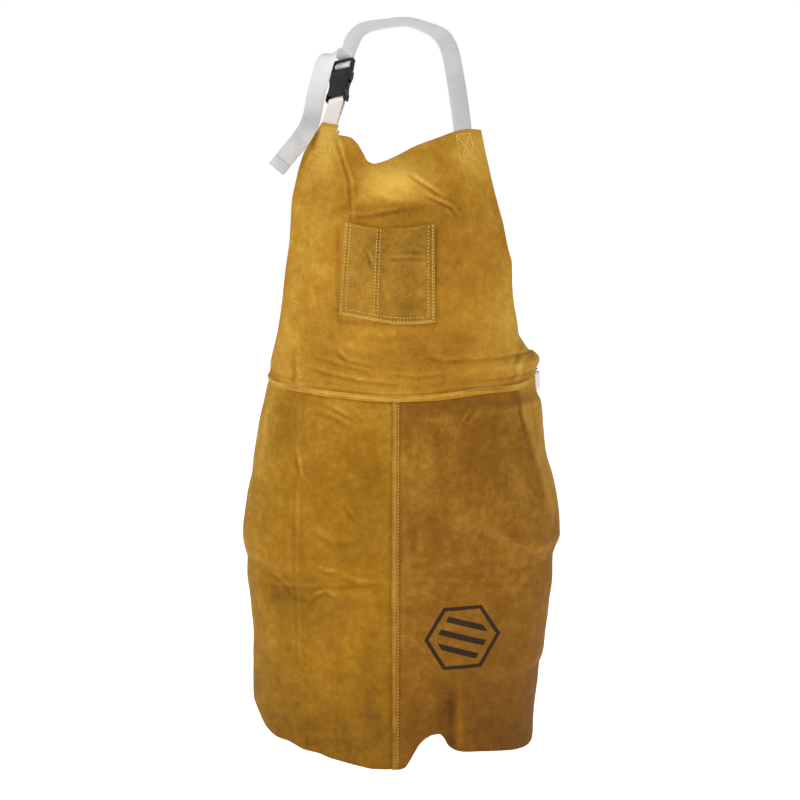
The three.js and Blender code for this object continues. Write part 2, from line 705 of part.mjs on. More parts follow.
addMesh(apron, 'neck_strap', neckStrap(), WEB_WHITE);
addMesh(apron, 'neck_strap_end', ladderWrap(NECK_BUCKLE, flipped(NECK_BUCKLE, neckLeadIn)), WEB_WHITE);
addMesh(apron, 'neck_strap_tail', strap(NECK_TAIL, 40), WEB_WHITE);
addMesh(apron, 'neck_tail_hem_thread', tailHemThread(NECK_TAIL), THREAD_YELLOW);
addMesh(apron, 'neck_socket_loop', socketLoop(NECK_BUCKLE, neckSocketOuter, neckSocketInner), WEB_WHITE);
addMesh(apron, 'waist_belt', waistBelt(), WEB_WHITE);
addMesh(apron, 'waist_belt_end', ladderWrap(WAIST_BUCKLE, beltLeadIn), WEB_WHITE);
addMesh(apron, 'waist_belt_tail', strap(BELT_TAIL, 32), WEB_WHITE);
addMesh(apron, 'belt_tail_hem_thread', tailHemThread(BELT_TAIL), THREAD_YELLOW);
addMesh(
  apron,
  'waist_socket_loop',
  socketLoop(WAIST_BUCKLE, waistAnchor(beltAnchorLift), waistAnchor(beltAnchorLift - ply).reverse()),
  WEB_WHITE,
);

export default apron;
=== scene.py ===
"""The looks of a leather welding apron: suede panels, stitches, webbing and two side-release buckles."""
import math

import bpy
import numpy as np
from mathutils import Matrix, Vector


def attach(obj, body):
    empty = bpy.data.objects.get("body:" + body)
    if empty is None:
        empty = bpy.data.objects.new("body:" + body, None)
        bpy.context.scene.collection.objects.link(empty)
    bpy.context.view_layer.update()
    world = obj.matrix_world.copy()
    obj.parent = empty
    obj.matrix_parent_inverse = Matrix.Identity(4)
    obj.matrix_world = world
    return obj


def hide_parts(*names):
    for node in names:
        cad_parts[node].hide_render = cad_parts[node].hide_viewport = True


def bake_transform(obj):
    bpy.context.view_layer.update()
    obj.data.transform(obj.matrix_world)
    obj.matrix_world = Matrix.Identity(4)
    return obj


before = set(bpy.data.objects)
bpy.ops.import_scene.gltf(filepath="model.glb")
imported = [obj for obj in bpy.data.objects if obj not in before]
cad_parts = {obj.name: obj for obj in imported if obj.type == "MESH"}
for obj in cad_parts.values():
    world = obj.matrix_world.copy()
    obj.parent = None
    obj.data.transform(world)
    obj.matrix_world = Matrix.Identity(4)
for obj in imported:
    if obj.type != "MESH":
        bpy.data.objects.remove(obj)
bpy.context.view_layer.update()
MM = 0.001

# ------------------------------------------------------------
# Camera, light and floor

AIM = Vector((-1.4, -100.0, -523.0)) * MM
CAMERA_AT = Vector((180.5, -2393.0, -143.0)) * MM
LENS = 74.9


def make_camera():
    data = bpy.data.cameras.new("camera")
    data.lens = LENS
    data.sensor_width = 36.0
    camera = bpy.data.objects.new("camera", data)
    camera.location = CAMERA_AT
    camera.rotation_euler = (AIM - CAMERA_AT).to_track_quat("-Z", "Y").to_euler()
    bpy.context.scene.collection.objects.link(camera)
    bpy.context.scene.camera = camera


def make_area_light(name, at, size, power, colour):
    data = bpy.data.lights.new(name, "AREA")
    data.shape = "DISK"
    data.size = size
    data.energy = power
    data.color = colour
    light = bpy.data.objects.new(name, data)
    light.location = at
    light.rotation_euler = (Vector((0, -0.1, -0.5)) - Vector(at)).to_track_quat("-Z", "Y").to_euler()
    bpy.context.scene.collection.objects.link(light)


def make_world():
    """Soft light from all round, which the camera sees as a white studio."""
    world = bpy.data.worlds.new("studio")
    bpy.context.scene.world = world
    world.use_nodes = True
    tree = world.node_tree
    tree.nodes.clear()
    around = tree.nodes.new("ShaderNodeBackground")
    around.inputs["Color"].default_value = (1.0, 0.99, 0.97, 1)
    around.inputs["Strength"].default_value = 0.42
    seen = tree.nodes.new("ShaderNodeBackground")
    seen.inputs["Color"].default_value = (1, 1, 1, 1)
    seen.inputs["Strength"].default_value = 1.0
    path = tree.nodes.new("ShaderNodeLightPath")
    mix = tree.nodes.new("ShaderNodeMixShader")
    out = tree.nodes.new("ShaderNodeOutputWorld")
    tree.links.new(path.outputs["Is Camera Ray"], mix.inputs[0])
    tree.links.new(around.outputs[0], mix.inputs[1])
    tree.links.new(seen.outputs[0], mix.inputs[2])
    tree.links.new(mix.outputs[0], out.inputs[0])


def make_floor():
    half = 14.0
    floor_z = -1.5
    mesh = bpy.data.meshes.new("floor")
    corners = [(-half, -half, floor_z), (half, -half, floor_z), (half, half, floor_z), (-half, half, floor_z)]
    mesh.from_pydata(corners, [], [(0, 1, 2, 3)])
    floor = bpy.data.objects.new("floor", mesh)
    bpy.context.scene.collection.objects.link(floor)
    material = bpy.data.materials.new("floor")
    material.use_nodes = True
    shader = material.node_tree.nodes["Principled BSDF"]
    shader.inputs["Base Color"].default_value = (0.8, 0.8, 0.8, 1)
    shader.inputs["Roughness"].default_value = 0.9
    shader.inputs["Emission Color"].default_value = (1, 1, 1, 1)
    shader.inputs["Emission Strength"].default_value = 0.8
    mesh.materials.append(material)


# Each light's name, place in metres, width, power and colour
LIGHTS = [
    ("key", (-1.3, -2.2, 1.0), 1.4, 26, (1.0, 0.98, 0.95)),
    ("fill", (1.8, -2.0, 0.1), 1.6, 5, (1.0, 0.99, 0.98)),
    ("rim", (0.6, 1.8, 0.9), 1.4, 12, (1.0, 1.0, 1.0)),
]

make_camera()
make_world()
make_floor()
for light in LIGHTS:
    make_area_light(*light)
bpy.context.scene.view_settings.view_transform = "Standard"

# ------------------------------------------------------------
# Numbers: smooth curves, noise and creases


def smooth(points, at):
    """A smooth curve through (place, value) points, whose places rise. It never overshoots them."""
    places, values = np.array(points, float).T
    slants = np.diff(values) / np.diff(places)
    before, after = slants[:-1], slants[1:]
    same_way = before * after > 0
    total = np.where(same_way, before + after, 1)
    middle = np.where(same_way, 2 * before * after / total, 0)
    slopes = np.concatenate([slants[:1], middle, slants[-1:]])
    at = np.clip(at, places[0], places[-1])
    left = np.clip(np.searchsorted(places, at) - 1, 0, len(places) - 2)
    span = places[left + 1] - places[left]
    t = (at - places[left]) / span
    return (
        values[left] * (2 * t**3 - 3 * t**2 + 1)
        + span * slopes[left] * (t**3 - 2 * t**2 + t)
        + values[left + 1] * (3 * t**2 - 2 * t**3)
        + span * slopes[left + 1] * (t**3 - t**2)
    )


def step(low, high, value):
    t = np.clip((value - low) / (high - low), 0, 1)
    return t * t * (3 - 2 * t)


def mix(a, b, t):
    return a + (b - a) * t


def noise(x, z, size, seed, octaves=3):
    """Smooth noise from about -1 to 1, with features of the given size."""
    lattice = np.random.default_rng(seed).uniform(-1, 1, (octaves, 64, 64))
    total, weight = np.zeros_like(x, dtype=float), 1.0
    for octave in range(octaves):
        px, pz = x / size + 13.7 * octave, z / size + 5.3 * octave
        ix, iz = np.floor(px).astype(int), np.floor(pz).astype(int)
        fx, fz = px - ix, pz - iz
        fx, fz = fx * fx * (3 - 2 * fx), fz * fz * (3 - 2 * fz)
        grid = lattice[octave]
        corner = lambda a, b: grid[(ix + a) % 64, (iz + b) % 64]
        low = mix(corner(0, 0), corner(1, 0), fx)
        high = mix(corner(0, 1), corner(1, 1), fx)
        total += weight * mix(low, high, fz)
        weight *= 0.5
        size *= 0.5
    return total


def bell(value, centre, width):
    return np.exp(-(((value - centre) / width) ** 2))


def running_length(points):
    """How far along a path each of its points lies."""
    return np.concatenate([[0], np.cumsum(np.linalg.norm(np.diff(points, axis=0), axis=-1))])


def read_off(values, along, places):
    """Rows of values at some places between the points that they belong to."""
    return np.stack([np.interp(places, along, values[:, axis]) for axis in range(3)], 1)


def normalised(vectors):
    vectors = np.asarray(vectors, float)
    return vectors / np.maximum(np.linalg.norm(vectors, axis=-1, keepdims=True), 1e-9)


def crease(x, z, route, depth, width):
    """A furrow along a route with a raised lip on its left, fading out at both ends."""
    route = np.array(route, float)
    starts = running_length(route)
    best = np.full(x.shape, 1e9)
    signed, along = np.zeros(x.shape), np.zeros(x.shape)
    for index, length in enumerate(np.diff(starts)):
        way = (route[index + 1] - route[index]) / length
        dx, dz = x - route[index][0], z - route[index][1]
        t = np.clip(dx * way[0] + dz * way[1], 0, length)
        away = np.hypot(dx - t * way[0], dz - t * way[1])
        nearer = away < best
        best = np.where(nearer, away, best)
        signed = np.where(nearer, away * np.sign(way[0] * dz - way[1] * dx), signed)
        along = np.where(nearer, (starts[index] + t) / starts[-1], along)
    fade = np.sin(np.pi * np.clip(along, 0.02, 0.98)) ** 0.6
    lip = 0.75 * bell(signed, 1.5 * width, 1.2 * width)
    return depth * fade * (lip - bell(signed, 0, width))


def patches(x, z, spots):
    """Soft spots laid over one another, each with its place, its size and its amount."""
    return sum(amount * bell(x, at[0], size[0]) * bell(z, at[1], size[1]) for at, size, amount in spots)


# ------------------------------------------------------------
# The wearer's form: the front half of an ellipse at each height, in millimetres

LEATHER = 1.6
LEFT_LIFT = 0.2
RIGHT_LIFT = 2.8
BIB_LIFT = 5.4

CENTRE_X = [(-1040, -12), (-970, -14), (-830, -8), (-720, -5), (-600, -6), (-505, -1), (-425, -6),
            (-315, -4), (-245, -8), (-190, -6), (-120, 3)]
HALF_WIDTH = [(-505, 189), (-425, 186), (-315, 180), (-245, 170), (-190, 158), (-120, 146)]
FRONT_Y = [(-1040, -210), (-970, -211), (-830, -211), (-720, -210), (-600, -205), (-505, -198), (-425, -203),
           (-315, -206), (-245, -197), (-190, -180), (-120, -152)]
DEPTH = [(-1040, 154), (-970, 156), (-830, 157), (-720, 155), (-600, 152), (-505, 150), (-425, 147),
         (-315, 136), (-245, 120), (-190, 102), (-120, 84)]

# How far the leather shows to each side
SKIRT_LEFT = [(-1040, -211), (-985, -216), (-945, -218.5), (-892, -219), (-836, -221.5), (-780, -227.5),
              (-760, -227), (-744, -231), (-725, -233), (-696, -230.5), (-666, -225.5), (-636, -219),
              (-607, -216), (-578, -211), (-549, -206), (-522, -199), (-495, -191.5)]
SKIRT_RIGHT = [(-1040, 189), (-985, 191), (-945, 195), (-910, 199), (-896, 204), (-864, 207.5), (-821, 212),
               (-780, 216.5), (-752, 216.5), (-740, 220), (-721, 227), (-696, 225.5), (-664, 220.5),
               (-636, 214.5), (-598, 204), (-572, 201), (-543, 199), (-528, 196.5), (-520, 191.5),
               (-512, 188.5), (-495, 187)]
BIB_LEFT = [(-512, -193), (-497, -193), (-487, -190), (-471, -183.5), (-457, -178.5), (-442, -173),
            (-413, -165), (-385, -160), (-356, -156), (-328, -152), (-300, -147.5), (-272, -145.5),
            (-245, -144), (-215, -138), (-190, -131.5), (-177, -126.5), (-160, -115.5), (-138, -102)]
BIB_RIGHT = [(-512, 188), (-497, 185.5), (-487, 184), (-478, 190), (-468, 193.5), (-461, 189), (-453, 180),
             (-439, 171), (-424, 163.5), (-410, 162), (-382, 157.5), (-354, 154.5), (-326, 153.5),
             (-312, 150), (-299, 147), (-271, 140.5), (-244, 133), (-214, 125), (-190, 119.5), (-150, 110.5)]

BIB_TOP = [(-1.0, -140), (-0.97, -139.5), (-0.86, -141), (-0.715, -143.5), (-0.7, -150), (-0.685, -154.5),
           (-0.64, -156), (-0.495, -159), (-0.37, -168), (-0.28, -180), (-0.216, -190.5), (-0.155, -193.3),
           (-0.067, -190), (0.057, -182), (0.225, -170), (0.465, -159), (0.656, -151.5), (0.85, -148.5),
           (1.0, -149.5)]
WAIST_ROW_Z = [(-192, -492), (-141, -497), (-101, -496), (-56, -498), (-3, -501), (39, -499), (92, -494),
               (133, -495), (168, -492), (190, -488)]
HEM_Z = [(-226, -963), (-207, -977), (-198, -988), (-187, -998), (-172, -1004), (-158, -1004), (-148, -1006),
         (-132, -1010), (-111, -1010.5), (-92, -1014.5), (-72, -1017), (-48, -1020), (-28, -1022), (4, -1021),
         (14, -1018), (20, -1010), (27, -998), (35, -986), (44, -979), (54, -976), (64, -976), (71, -983),
         (76, -993), (84, -999), (115, -1004), (142, -1011), (169, -1020), (186, -1025), (204, -1026)]
ROW_TO_EDGE = 7.5
SKIRT_TOP_Z = -488
FORM_HALF = 200.0
BIB_HALF = 189
UNDER_LAP_X, OVER_LAP_X = 9.0, -4.0


def form_point(sine, side_x, z, lift):
    """A point at a share of the way out to one side, on the form or lifted off it."""
    centre_x = smooth(CENTRE_X, z)
    depth = smooth(DEPTH, z) + lift
    centre_y = smooth(FRONT_Y, z) + smooth(DEPTH, z)
    x = centre_x + (side_x - centre_x) * sine
    y = centre_y - depth * np.sqrt(np.maximum(1 - sine**2, 0))
    return np.stack([x, y, z + 0 * x], -1)


def outward(x, y, z):
    """The form's own direction outwards, level."""
    depth = smooth(DEPTH, z)
    from_centre = y - smooth(FRONT_Y, z) - depth
    return normalised(np.stack([(x - smooth(CENTRE_X, z)) / FORM_HALF**2, from_centre / depth**2, 0 * x], -1))


def facing_out(normals, points):
    """The same directions, turned where needed to point away from the wearer."""
    outwards = np.einsum("...k,...k->...", normals, outward(*np.moveaxis(points, -1, 0))) > 0
    return np.where(outwards[..., None], normals, -normals)


def push_out(points, height):
    return points + outward(*np.moveaxis(points, -1, 0)) * height[..., None]


def skirt_edge(way, z):
    """How far out the left (-1) or the right (1) skirt reaches."""
    return smooth(SKIRT_LEFT if way < 0 else SKIRT_RIGHT, z)


# ------------------------------------------------------------
# How the leather hangs: folds, creases and wrinkles, in millimetres outwards

# A crease is its route, its depth and its width. A swell or a tone is its place, its size and its amount.
BIB_CREASES = [
    ([(18, -208), (32, -218), (48, -228), (62, -238)], 1.2, 3.0),
    ([(40, -236), (58, -244), (74, -252), (82, -264)], 1.1, 2.8),
    ([(-84, -156), (-72, -190), (-62, -216), (-59, -266)], 1.7, 3.2),
    ([(-60, -262), (-36, -262), (-4, -256), (24, -252)], 1.1, 3.2),
    ([(-34, -232), (-10, -246), (18, -250), (44, -246)], 1.3, 7),
    ([(-42, -200), (-50, -222), (-66, -248), (-96, -266)], 1.0, 7),
    ([(-112, -200), (-118, -260), (-122, -330), (-136, -410)], 1.2, 9),
    ([(108, -170), (106, -220), (112, -280), (118, -340)], 1.0, 10),
    ([(-128, -468), (-96, -474), (-50, -482), (8, -486)], 1.0, 3),
    ([(-116, -452), (-70, -462), (-28, -470)], 0.8, 3),
    ([(-84, -440), (-66, -456), (-30, -460)], 0.9, 3.5),
    ([(-20, -470), (30, -476), (74, -472)], 0.6, 3),
    ([(40, -448), (70, -456), (104, -452)], 0.7, 4),
    ([(-142, -440), (-143, -470), (-143, -496)], 1.0, 5),
    ([(168, -446), (160, -466), (158, -488)], 1.0, 4),
    ([(-70, -404), (-40, -420), (-8, -424), (30, -418)], 1.0, 7),
]
LEFT_CREASES = [
    ([(-142, -500), (-139, -595), (-140, -705), (-140, -819), (-138, -950)], 0.45, 3.2),
    ([(-134, -508), (-97, -518), (-61, -534)], 2.6, 3.2),
    ([(-120, -526), (-90, -534), (-60, -546)], 0.9, 5),
    ([(-212, -786), (-170, -778), (-132, -774), (-61, -764), (-4, -759)], 0.45, 3.2),
    ([(-110, -742), (-92, -748), (-70, -746)], 0.9, 3),
    ([(-76, -752), (-50, -760), (-24, -758)], 0.8, 4),
    ([(-112, -786), (-96, -776), (-84, -780)], 0.8, 3),
    ([(-180, -762), (-160, -770), (-150, -782)], 0.7, 4),
    ([(-138, -590), (-135, -606), (-133, -622)], 1.2, 3),
    ([(-90, -600), (-60, -640), (-52, -690)], 0.8, 12),
    ([(-110, -820), (-80, -860), (-70, -930)], 0.9, 12),
    ([(-70, -652), (-62, -664), (-54, -674)], 0.7, 3),
    ([(-196, -520), (-200, -580), (-212, -640)], 1.3, 6),
    ([(-190, -510), (-184, -560), (-188, -620)], 1.0, 8),
    ([(-196, -700), (-176, -740), (-172, -790)], 1.0, 9),
    ([(-120, -690), (-86, -706), (-46, -704)], 0.7, 6),
    ([(-40, -840), (-30, -900), (-34, -980)], 0.9, 12),
]
RIGHT_CREASES = [
    ([(164, -512), (168, -530), (176, -566)], 1.2, 2.8),
    ([(180, -514), (186, -536), (192, -572)], 1.2, 2.8),
    ([(178, -566), (184, -596), (198, -626)], 1.0, 5),
    ([(4, -758), (60, -757), (120, -762), (208, -778)], 0.25, 3.5),
    ([(30, -520), (60, -560), (70, -620)], 0.8, 12),
    ([(150, -600), (160, -680), (172, -740)], 0.9, 12),
    ([(92, -540), (100, -528), (108, -522)], 0.8, 3),
    ([(110, -690), (150, -720), (196, -736)], 0.7, 8),
    ([(150, -790), (158, -860), (150, -930)], 0.4, 12),
    ([(20, -640), (26, -700), (22, -750)], 0.6, 9),
]
BIB_SWELLS = [
    ((8, -216), (50, 24), 8.0), ((0, -254), (60, 14), -2.0), ((-94, -160), (16, 34), 1.4),
    ((88, -168), (16, 30), 1.2), ((-10, -432), (90, 16), 2.4),
]
# The bib's tone patches: the suede's own colour changes, and painted light and shade: a painted highlight where
# the top of the bib tilts up to the light, and painted shade below it, beside the creases and beside the neck
# strap's tail
BIB_TONES_AND_LIGHT = [
    ((2, -214), (38, 20), 0.46), ((-98, -172), (24, 40), 0.30), ((102, -176), (26, 44), 0.30),
    ((-128, -300), (30, 130), 0.12), ((140, -400), (40, 70), 0.10), ((76, -300), (44, 80), -0.10),
    ((-36, -420), (34, 20), 0.14), ((-6, -256), (64, 12), -0.16), ((-150, -440), (20, 90), 0.12),
    ((-62, -226), (12, 34), -0.10), ((-113, -160), (6, 20), -0.30), ((-76, -150), (4, 6), -0.10),
    ((158, -430), (28, 50), 0.10), ((60, -440), (50, 20), -0.06),
]
# The left skirt's tone patches: colour changes, and painted light and shade: paler above and darker below the
# crease across the skirt
LEFT_TONES_AND_LIGHT = [
    ((-196, -560), (26, 110), 0.22), ((-60, -620), (60, 60), -0.05), ((-150, -900), (60, 40), 0.04),
    ((-70, -520), (30, 12), 0.08), ((-150, -800), (50, 30), -0.14), ((-40, -600), (30, 160), -0.06),
    ((-70, -746), (40, 14), 0.10), ((-150, -786), (60, 16), -0.10), ((-60, -775), (70, 7), 0.06),
]
# The right skirt's tone patches: colour changes, and painted light on the fold at its right edge
RIGHT_TONES_AND_LIGHT = [
    ((156, -570), (18, 60), 0.10), ((40, -900), (30, 60), 0.06), ((120, -580), (50, 60), -0.06),
    ((30, -580), (30, 60), 0.06), ((110, -660), (60, 40), 0.06),
]
POCKET_TONES = [((-8, -360), (16, 40), 0.10), ((-58, -300), (14, 60), 0.06)]


def creases(x, z, routes):
    return sum(crease(x, z, route, depth, width) for route, depth, width in routes)


def wrinkles(x, z, seed):
    """The soft waviness of suede that has been folded and worn."""
    broad = 1.6 * noise(x, z * 0.6, 85, seed)
    middle = 0.34 * noise(x, z, 30, seed + 1)
    fine = 0.09 * noise(x, z, 7, seed + 2, 2)
    return broad + middle + fine


def bib_relief(x, z):
    row = smooth(WAIST_ROW_Z, x)
    seam_groove = -0.7 * bell(z, row, 2.0)
    hem_roll = 1.5 * step(row + 1, row - 3, z) * (1 - 0.9 * step(row - 5.2, row - ROW_TO_EDGE, z))
    worn = creases(x, z, BIB_CREASES) + wrinkles(x, z, 11) * mix(0.25, 1, step(-486, -470, z))
    return worn + patches(x, z, BIB_SWELLS) + seam_groove + hem_roll


def left_relief(x, z):
    hips = patches(x, z, [((-120, -700), (90, 90), 3.0)])
    flare = 3.0 * np.sin((x + 60) / 38.0) * step(-820, -1000, z)
    calm = step(-514, -540, z) * step(16, -14, x)
    return (creases(x, z, LEFT_CREASES) + wrinkles(x, z, 23) + hips + flare) * calm


def right_relief(x, z):
    """The right skirt, with the deep fold that makes the notch in its hem."""
    hollow = -10.0 * bell(x, 64, 20.0)
    shoulder = 5.5 * step(77, 91, x) * bell(np.maximum(x, 96), 96, 46.0)
    beside_lap = 4.0 * bell(x, 16, 18.0)
    row_groove = -0.6 * bell(x, 5, 1.8)
    edge_roll = 0.8 * bell(x, -1, 3.0)
    calm = step(-510, -536, z) * step(2, 22, x)
    worn = creases(x, z, RIGHT_CREASES) + wrinkles(x, z, 37)
    return worn * calm + (hollow + shoulder + beside_lap) * step(-850, -1000, z) + row_groove + edge_roll


def pocket_shadow(x, z):
    """The painted shadow where the pocket's edge meets the bib."""
    outside = np.maximum(np.maximum(-76 - x, x - 54), -402.5 - z)
    return bell(outside, 0, 4.0) * step(-268, -282, z)


def bib_tone(x, z):
    bands = 0.07 * step(-488, -500, z) - 0.05 * step(-380, -430, z)
    # Painted shadow round the pocket's edges
    return patches(x, z, BIB_TONES_AND_LIGHT) + bands - 0.16 * pocket_shadow(x, z)


def left_tone(x, z):
    # Painted shade: darker towards the hem
    return patches(x, z, LEFT_TONES_AND_LIGHT) - 0.25 * step(-780, -1010, z) + 0.02


def right_tone(x, z):
    past_fold = x - (166 + 0.27 * (-516 - z))
    # Painted light: a paler wedge where the skirt turns back past the fold at its right edge
    light_past_fold = 0.26 * step(-3, 6, past_fold) * step(-720, -640, z)
    # The raised roll along the lap's edge is paler: partly rubbed wear, partly painted light
    lap_roll_wear_and_light = 0.30 * bell(x, 0.5, 3.4)
    # Painted shade in the deep fold above the notch in the hem
    hem_fold_shade = 0.09 * step(52, 80, x) * step(88, 83, x) * step(-850, -930, z)
    # Painted shade: darker towards the hem
    hem = 0.22 * step(-840, -1000, z)
    return patches(x, z, RIGHT_TONES_AND_LIGHT) + light_past_fold + lap_roll_wear_and_light - hem_fold_shade - hem + 0.03


# ------------------------------------------------------------
# Meshes


def arc_lengths(points):
    """How far each grid point lies along its row and its column, from the middle row and column."""
    across = np.linalg.norm(np.diff(points, axis=1), axis=-1).mean(0)
    down = np.linalg.norm(np.diff(points, axis=0), axis=-1).mean(1)
    along_u = np.concatenate([[0], np.cumsum(across)])
    along_v = np.concatenate([[0], np.cumsum(down)])
    return np.meshgrid(along_u, along_v)


def make_object(name, vertices, faces, uvs=None, tones=None):
    """A smooth-shaded mesh object, from millimetres; uvs are metres along the surface."""
    mesh = bpy.data.meshes.new(name)
    mesh.from_pydata((np.asarray(vertices) * MM).tolist(), [], [list(face) for face in faces])
    mesh.polygons.foreach_set("use_smooth", [True] * len(mesh.polygons))
    loops = np.zeros(len(mesh.loops), int)
    mesh.loops.foreach_get("vertex_index", loops)
    if uvs is not None:
        layer = mesh.uv_layers.new(name="surface")
        layer.data.foreach_set("uv", (np.asarray(uvs)[loops] * MM).ravel())
    if tones is not None:
        layer = mesh.attributes.new("tone", "FLOAT", "POINT")
        layer.data.foreach_set("value", np.asarray(tones, float))
    mesh.update()
    item = bpy.data.objects.new(name, mesh)
    bpy.context.scene.collection.objects.link(item)
    return item


def slab(name, outer, inner, tones=None, rim_bulge=0.35):
    """A closed sheet between two grids of points, with a rounded rim."""
    rows, columns = outer.shape[:2]
    count = rows * columns
    index = np.arange(count).reshape(rows, columns)
    rim = np.concatenate([index[0, :-1], index[:-1, -1], index[-1, :0:-1], index[:0:-1, 0]])
    flat_outer, flat_inner = outer.reshape(-1, 3), inner.reshape(-1, 3)
    middle = (flat_outer[rim] + flat_inner[rim]) / 2
    through = flat_outer[rim] - flat_inner[rim]
    thickness = np.linalg.norm(through, axis=-1).mean()
    bulge = normalised(np.cross(np.gradient(middle, axis=0), through)) * thickness * rim_bulge
    if np.einsum("ij,ij->", bulge, middle - middle.mean(0)) < 0:
        bulge = -bulge
    vertices = np.concatenate([flat_outer, flat_inner, middle + bulge])
    a, b = index[:-1, :-1].ravel(), index[1:, :-1].ravel()
    c, d = index[1:, 1:].ravel(), index[:-1, 1:].ravel()
    ring = 2 * count + np.arange(len(rim))
    ring_next = np.roll(ring, -1)
    rim_next = np.roll(rim, -1)
    faces = np.concatenate([
        np.stack([a, b, c, d], 1),
        np.stack([a, d, c, b], 1) + count,
        np.stack([rim, rim_next, ring_next, ring], 1),
        np.stack([ring, ring_next, rim_next + count, rim + count], 1),
    ])
    uv = np.stack([lengths.ravel() for lengths in arc_lengths(outer)], 1)
    uvs = np.concatenate([uv, uv, uv[rim]])
    if tones is not None:
        flat = tones.ravel()
        tones = np.concatenate([flat, flat - 0.05, flat[rim] + 0.12])
    item = make_object(name, vertices, faces, uvs, tones)
    face_outwards(item)
    return item


def face_outwards(item):
    mesh = item.data
    points = np.zeros(len(mesh.vertices) * 3)
    mesh.vertices.foreach_get("co", points)
    points = points.reshape(-1, 3)
    mesh.calc_loop_triangles()
    corners = np.zeros(len(mesh.loop_triangles) * 3, int)
    mesh.loop_triangles.foreach_get("vertices", corners)
    a, b, c = points[corners.reshape(-1, 3)].transpose(1, 0, 2)
    if np.einsum("ij,ij->i", a, np.cross(b, c)).sum() < 0:
        mesh.flip_normals()


def tube_faces(first, rings, sides):
    """A tube's sides and ends, over rings of points that follow one another from a first point."""
    faces = []
    for ring in range(rings - 1):
        for corner in range(sides):
            a = first + ring * sides + corner
            b = first + ring * sides + (corner + 1) % sides
            faces.append((a, b, b + sides, a + sides))
    last = first + (rings - 1) * sides
    faces.append(tuple(first + corner for corner in reversed(range(sides))))
    faces.append(tuple(last + corner for corner in range(sides)))
    return faces


def sample_grid(points, u, v):
    """Points of a grid and their outward directions, at shares u along its rows and v down its columns."""
    rows, columns = points.shape[:2]
    pu, pv = np.clip(u, 0, 1) * (columns - 1), np.clip(v, 0, 1) * (rows - 1)
    iu, iv = np.minimum(pu.astype(int), columns - 2), np.minimum(pv.astype(int), rows - 2)
    fu, fv = (pu - iu)[:, None], (pv - iv)[:, None]
    top = mix(points[iv, iu], points[iv, iu + 1], fu)
    bottom = mix(points[iv + 1, iu], points[iv + 1, iu + 1], fu)
    left = mix(points[iv, iu], points[iv + 1, iu], fv)
    right = mix(points[iv, iu + 1], points[iv + 1, iu + 1], fv)
    at = mix(top, bottom, fv)
    return at, facing_out(normalised(np.cross(right - left, bottom - top)), at)


# ------------------------------------------------------------
# Leather panels

BIB_COLUMNS, BIB_ROWS = 250, 210
SKIRT_COLUMNS, SKIRT_ROWS = 150, 250
POCKET_COLUMNS, POCKET_ROWS = 100, 96


def bib_sine(side, z):
    """How far round the form a share of the bib's width lies at some heights."""
    centre_x, half = smooth(CENTRE_X, z), smooth(HALF_WIDTH, z)
    edge_x = np.where(side < 0, smooth(BIB_LEFT, z), smooth(BIB_RIGHT, z))
    reach = np.abs(edge_x - centre_x)
    half = np.maximum(half, reach)
    return np.sin(side * np.arcsin(reach / half)), centre_x + np.sign(side) * half


def bib_points(u, v, lift):
    side = 2 * u - 1
    z = mix(smooth(BIB_TOP, side), smooth(WAIST_ROW_Z, side * BIB_HALF) - ROW_TO_EDGE, v)
    sine, side_x = bib_sine(side, z)
    return form_point(np.abs(sine), side_x, z, lift)


def skirt_points(way, u, v, lift):
    """way is -1 for the left panel and 1 for the right one; u runs out from the centre lap."""
    start_x = UNDER_LAP_X if way < 0 else OVER_LAP_X
    top_z = SKIRT_TOP_Z + 0 * u
    z = top_z
    for _ in range(3):
        side_x, centre_x = skirt_edge(way, z), smooth(CENTRE_X, z)
        start = np.arcsin(np.clip((start_x - centre_x) / (side_x - centre_x), -1, 1))
        sine = np.sin(mix(start, math.pi / 2, u))
        x = centre_x + (side_x - centre_x) * sine
        z = mix(top_z, smooth(HEM_Z, x), v)
    return form_point(sine, skirt_edge(way, z), z, lift)


def panel(name, points, relief, tone, thickness=LEATHER):
    x, z = points[..., 0], points[..., 2]
    outer = push_out(points, relief(x, z))
    inner = outer - grid_out(outer) * thickness
    # The tones get painted light on the folds' ridges and painted shade in their furrows
    return slab(name, outer, inner, tones=tone(x, z) + fold_wear_and_shade(outer)), outer


def grid_out(points):
    """The direction outwards at each point of a grid."""
    across_and_down = np.cross(np.gradient(points, axis=1), np.gradient(points, axis=0))
    return facing_out(normalised(across_and_down), points)


def fold_wear_and_shade(points, reach=3):
    """Paler on the ridges, partly suede rubbed there and partly painted light, and darker in the furrows, which
    is painted shade.
    """
    inside = (slice(reach, -reach), slice(reach, -reach))
    around = (points[2 * reach:, reach:-reach] + points[:-2 * reach, reach:-reach]
              + points[reach:-reach, 2 * reach:] + points[reach:-reach, :-2 * reach]) / 4
    tone = np.zeros(points.shape[:2])
    tone[inside] = np.einsum("ijk,ijk->ij", points[inside] - around, grid_out(points)[inside]) - 0.04
    return np.clip(0.24 * tone, -0.2, 0.2)


def unit_grid(columns, rows):
    return np.meshgrid(np.linspace(0, 1, columns), np.linspace(0, 1, rows))


def make_skirt(side, way, lift, relief, tone):
    u, v = unit_grid(SKIRT_COLUMNS, SKIRT_ROWS)
    return panel(f"skirt_leather_{side}", skirt_points(way, u, v, lift + LEATHER), relief, tone)


def make_bib():
    u, v = unit_grid(BIB_COLUMNS, BIB_ROWS)
    return panel("bib_leather", bib_points(u, v, BIB_LIFT + LEATHER), bib_relief, bib_tone)


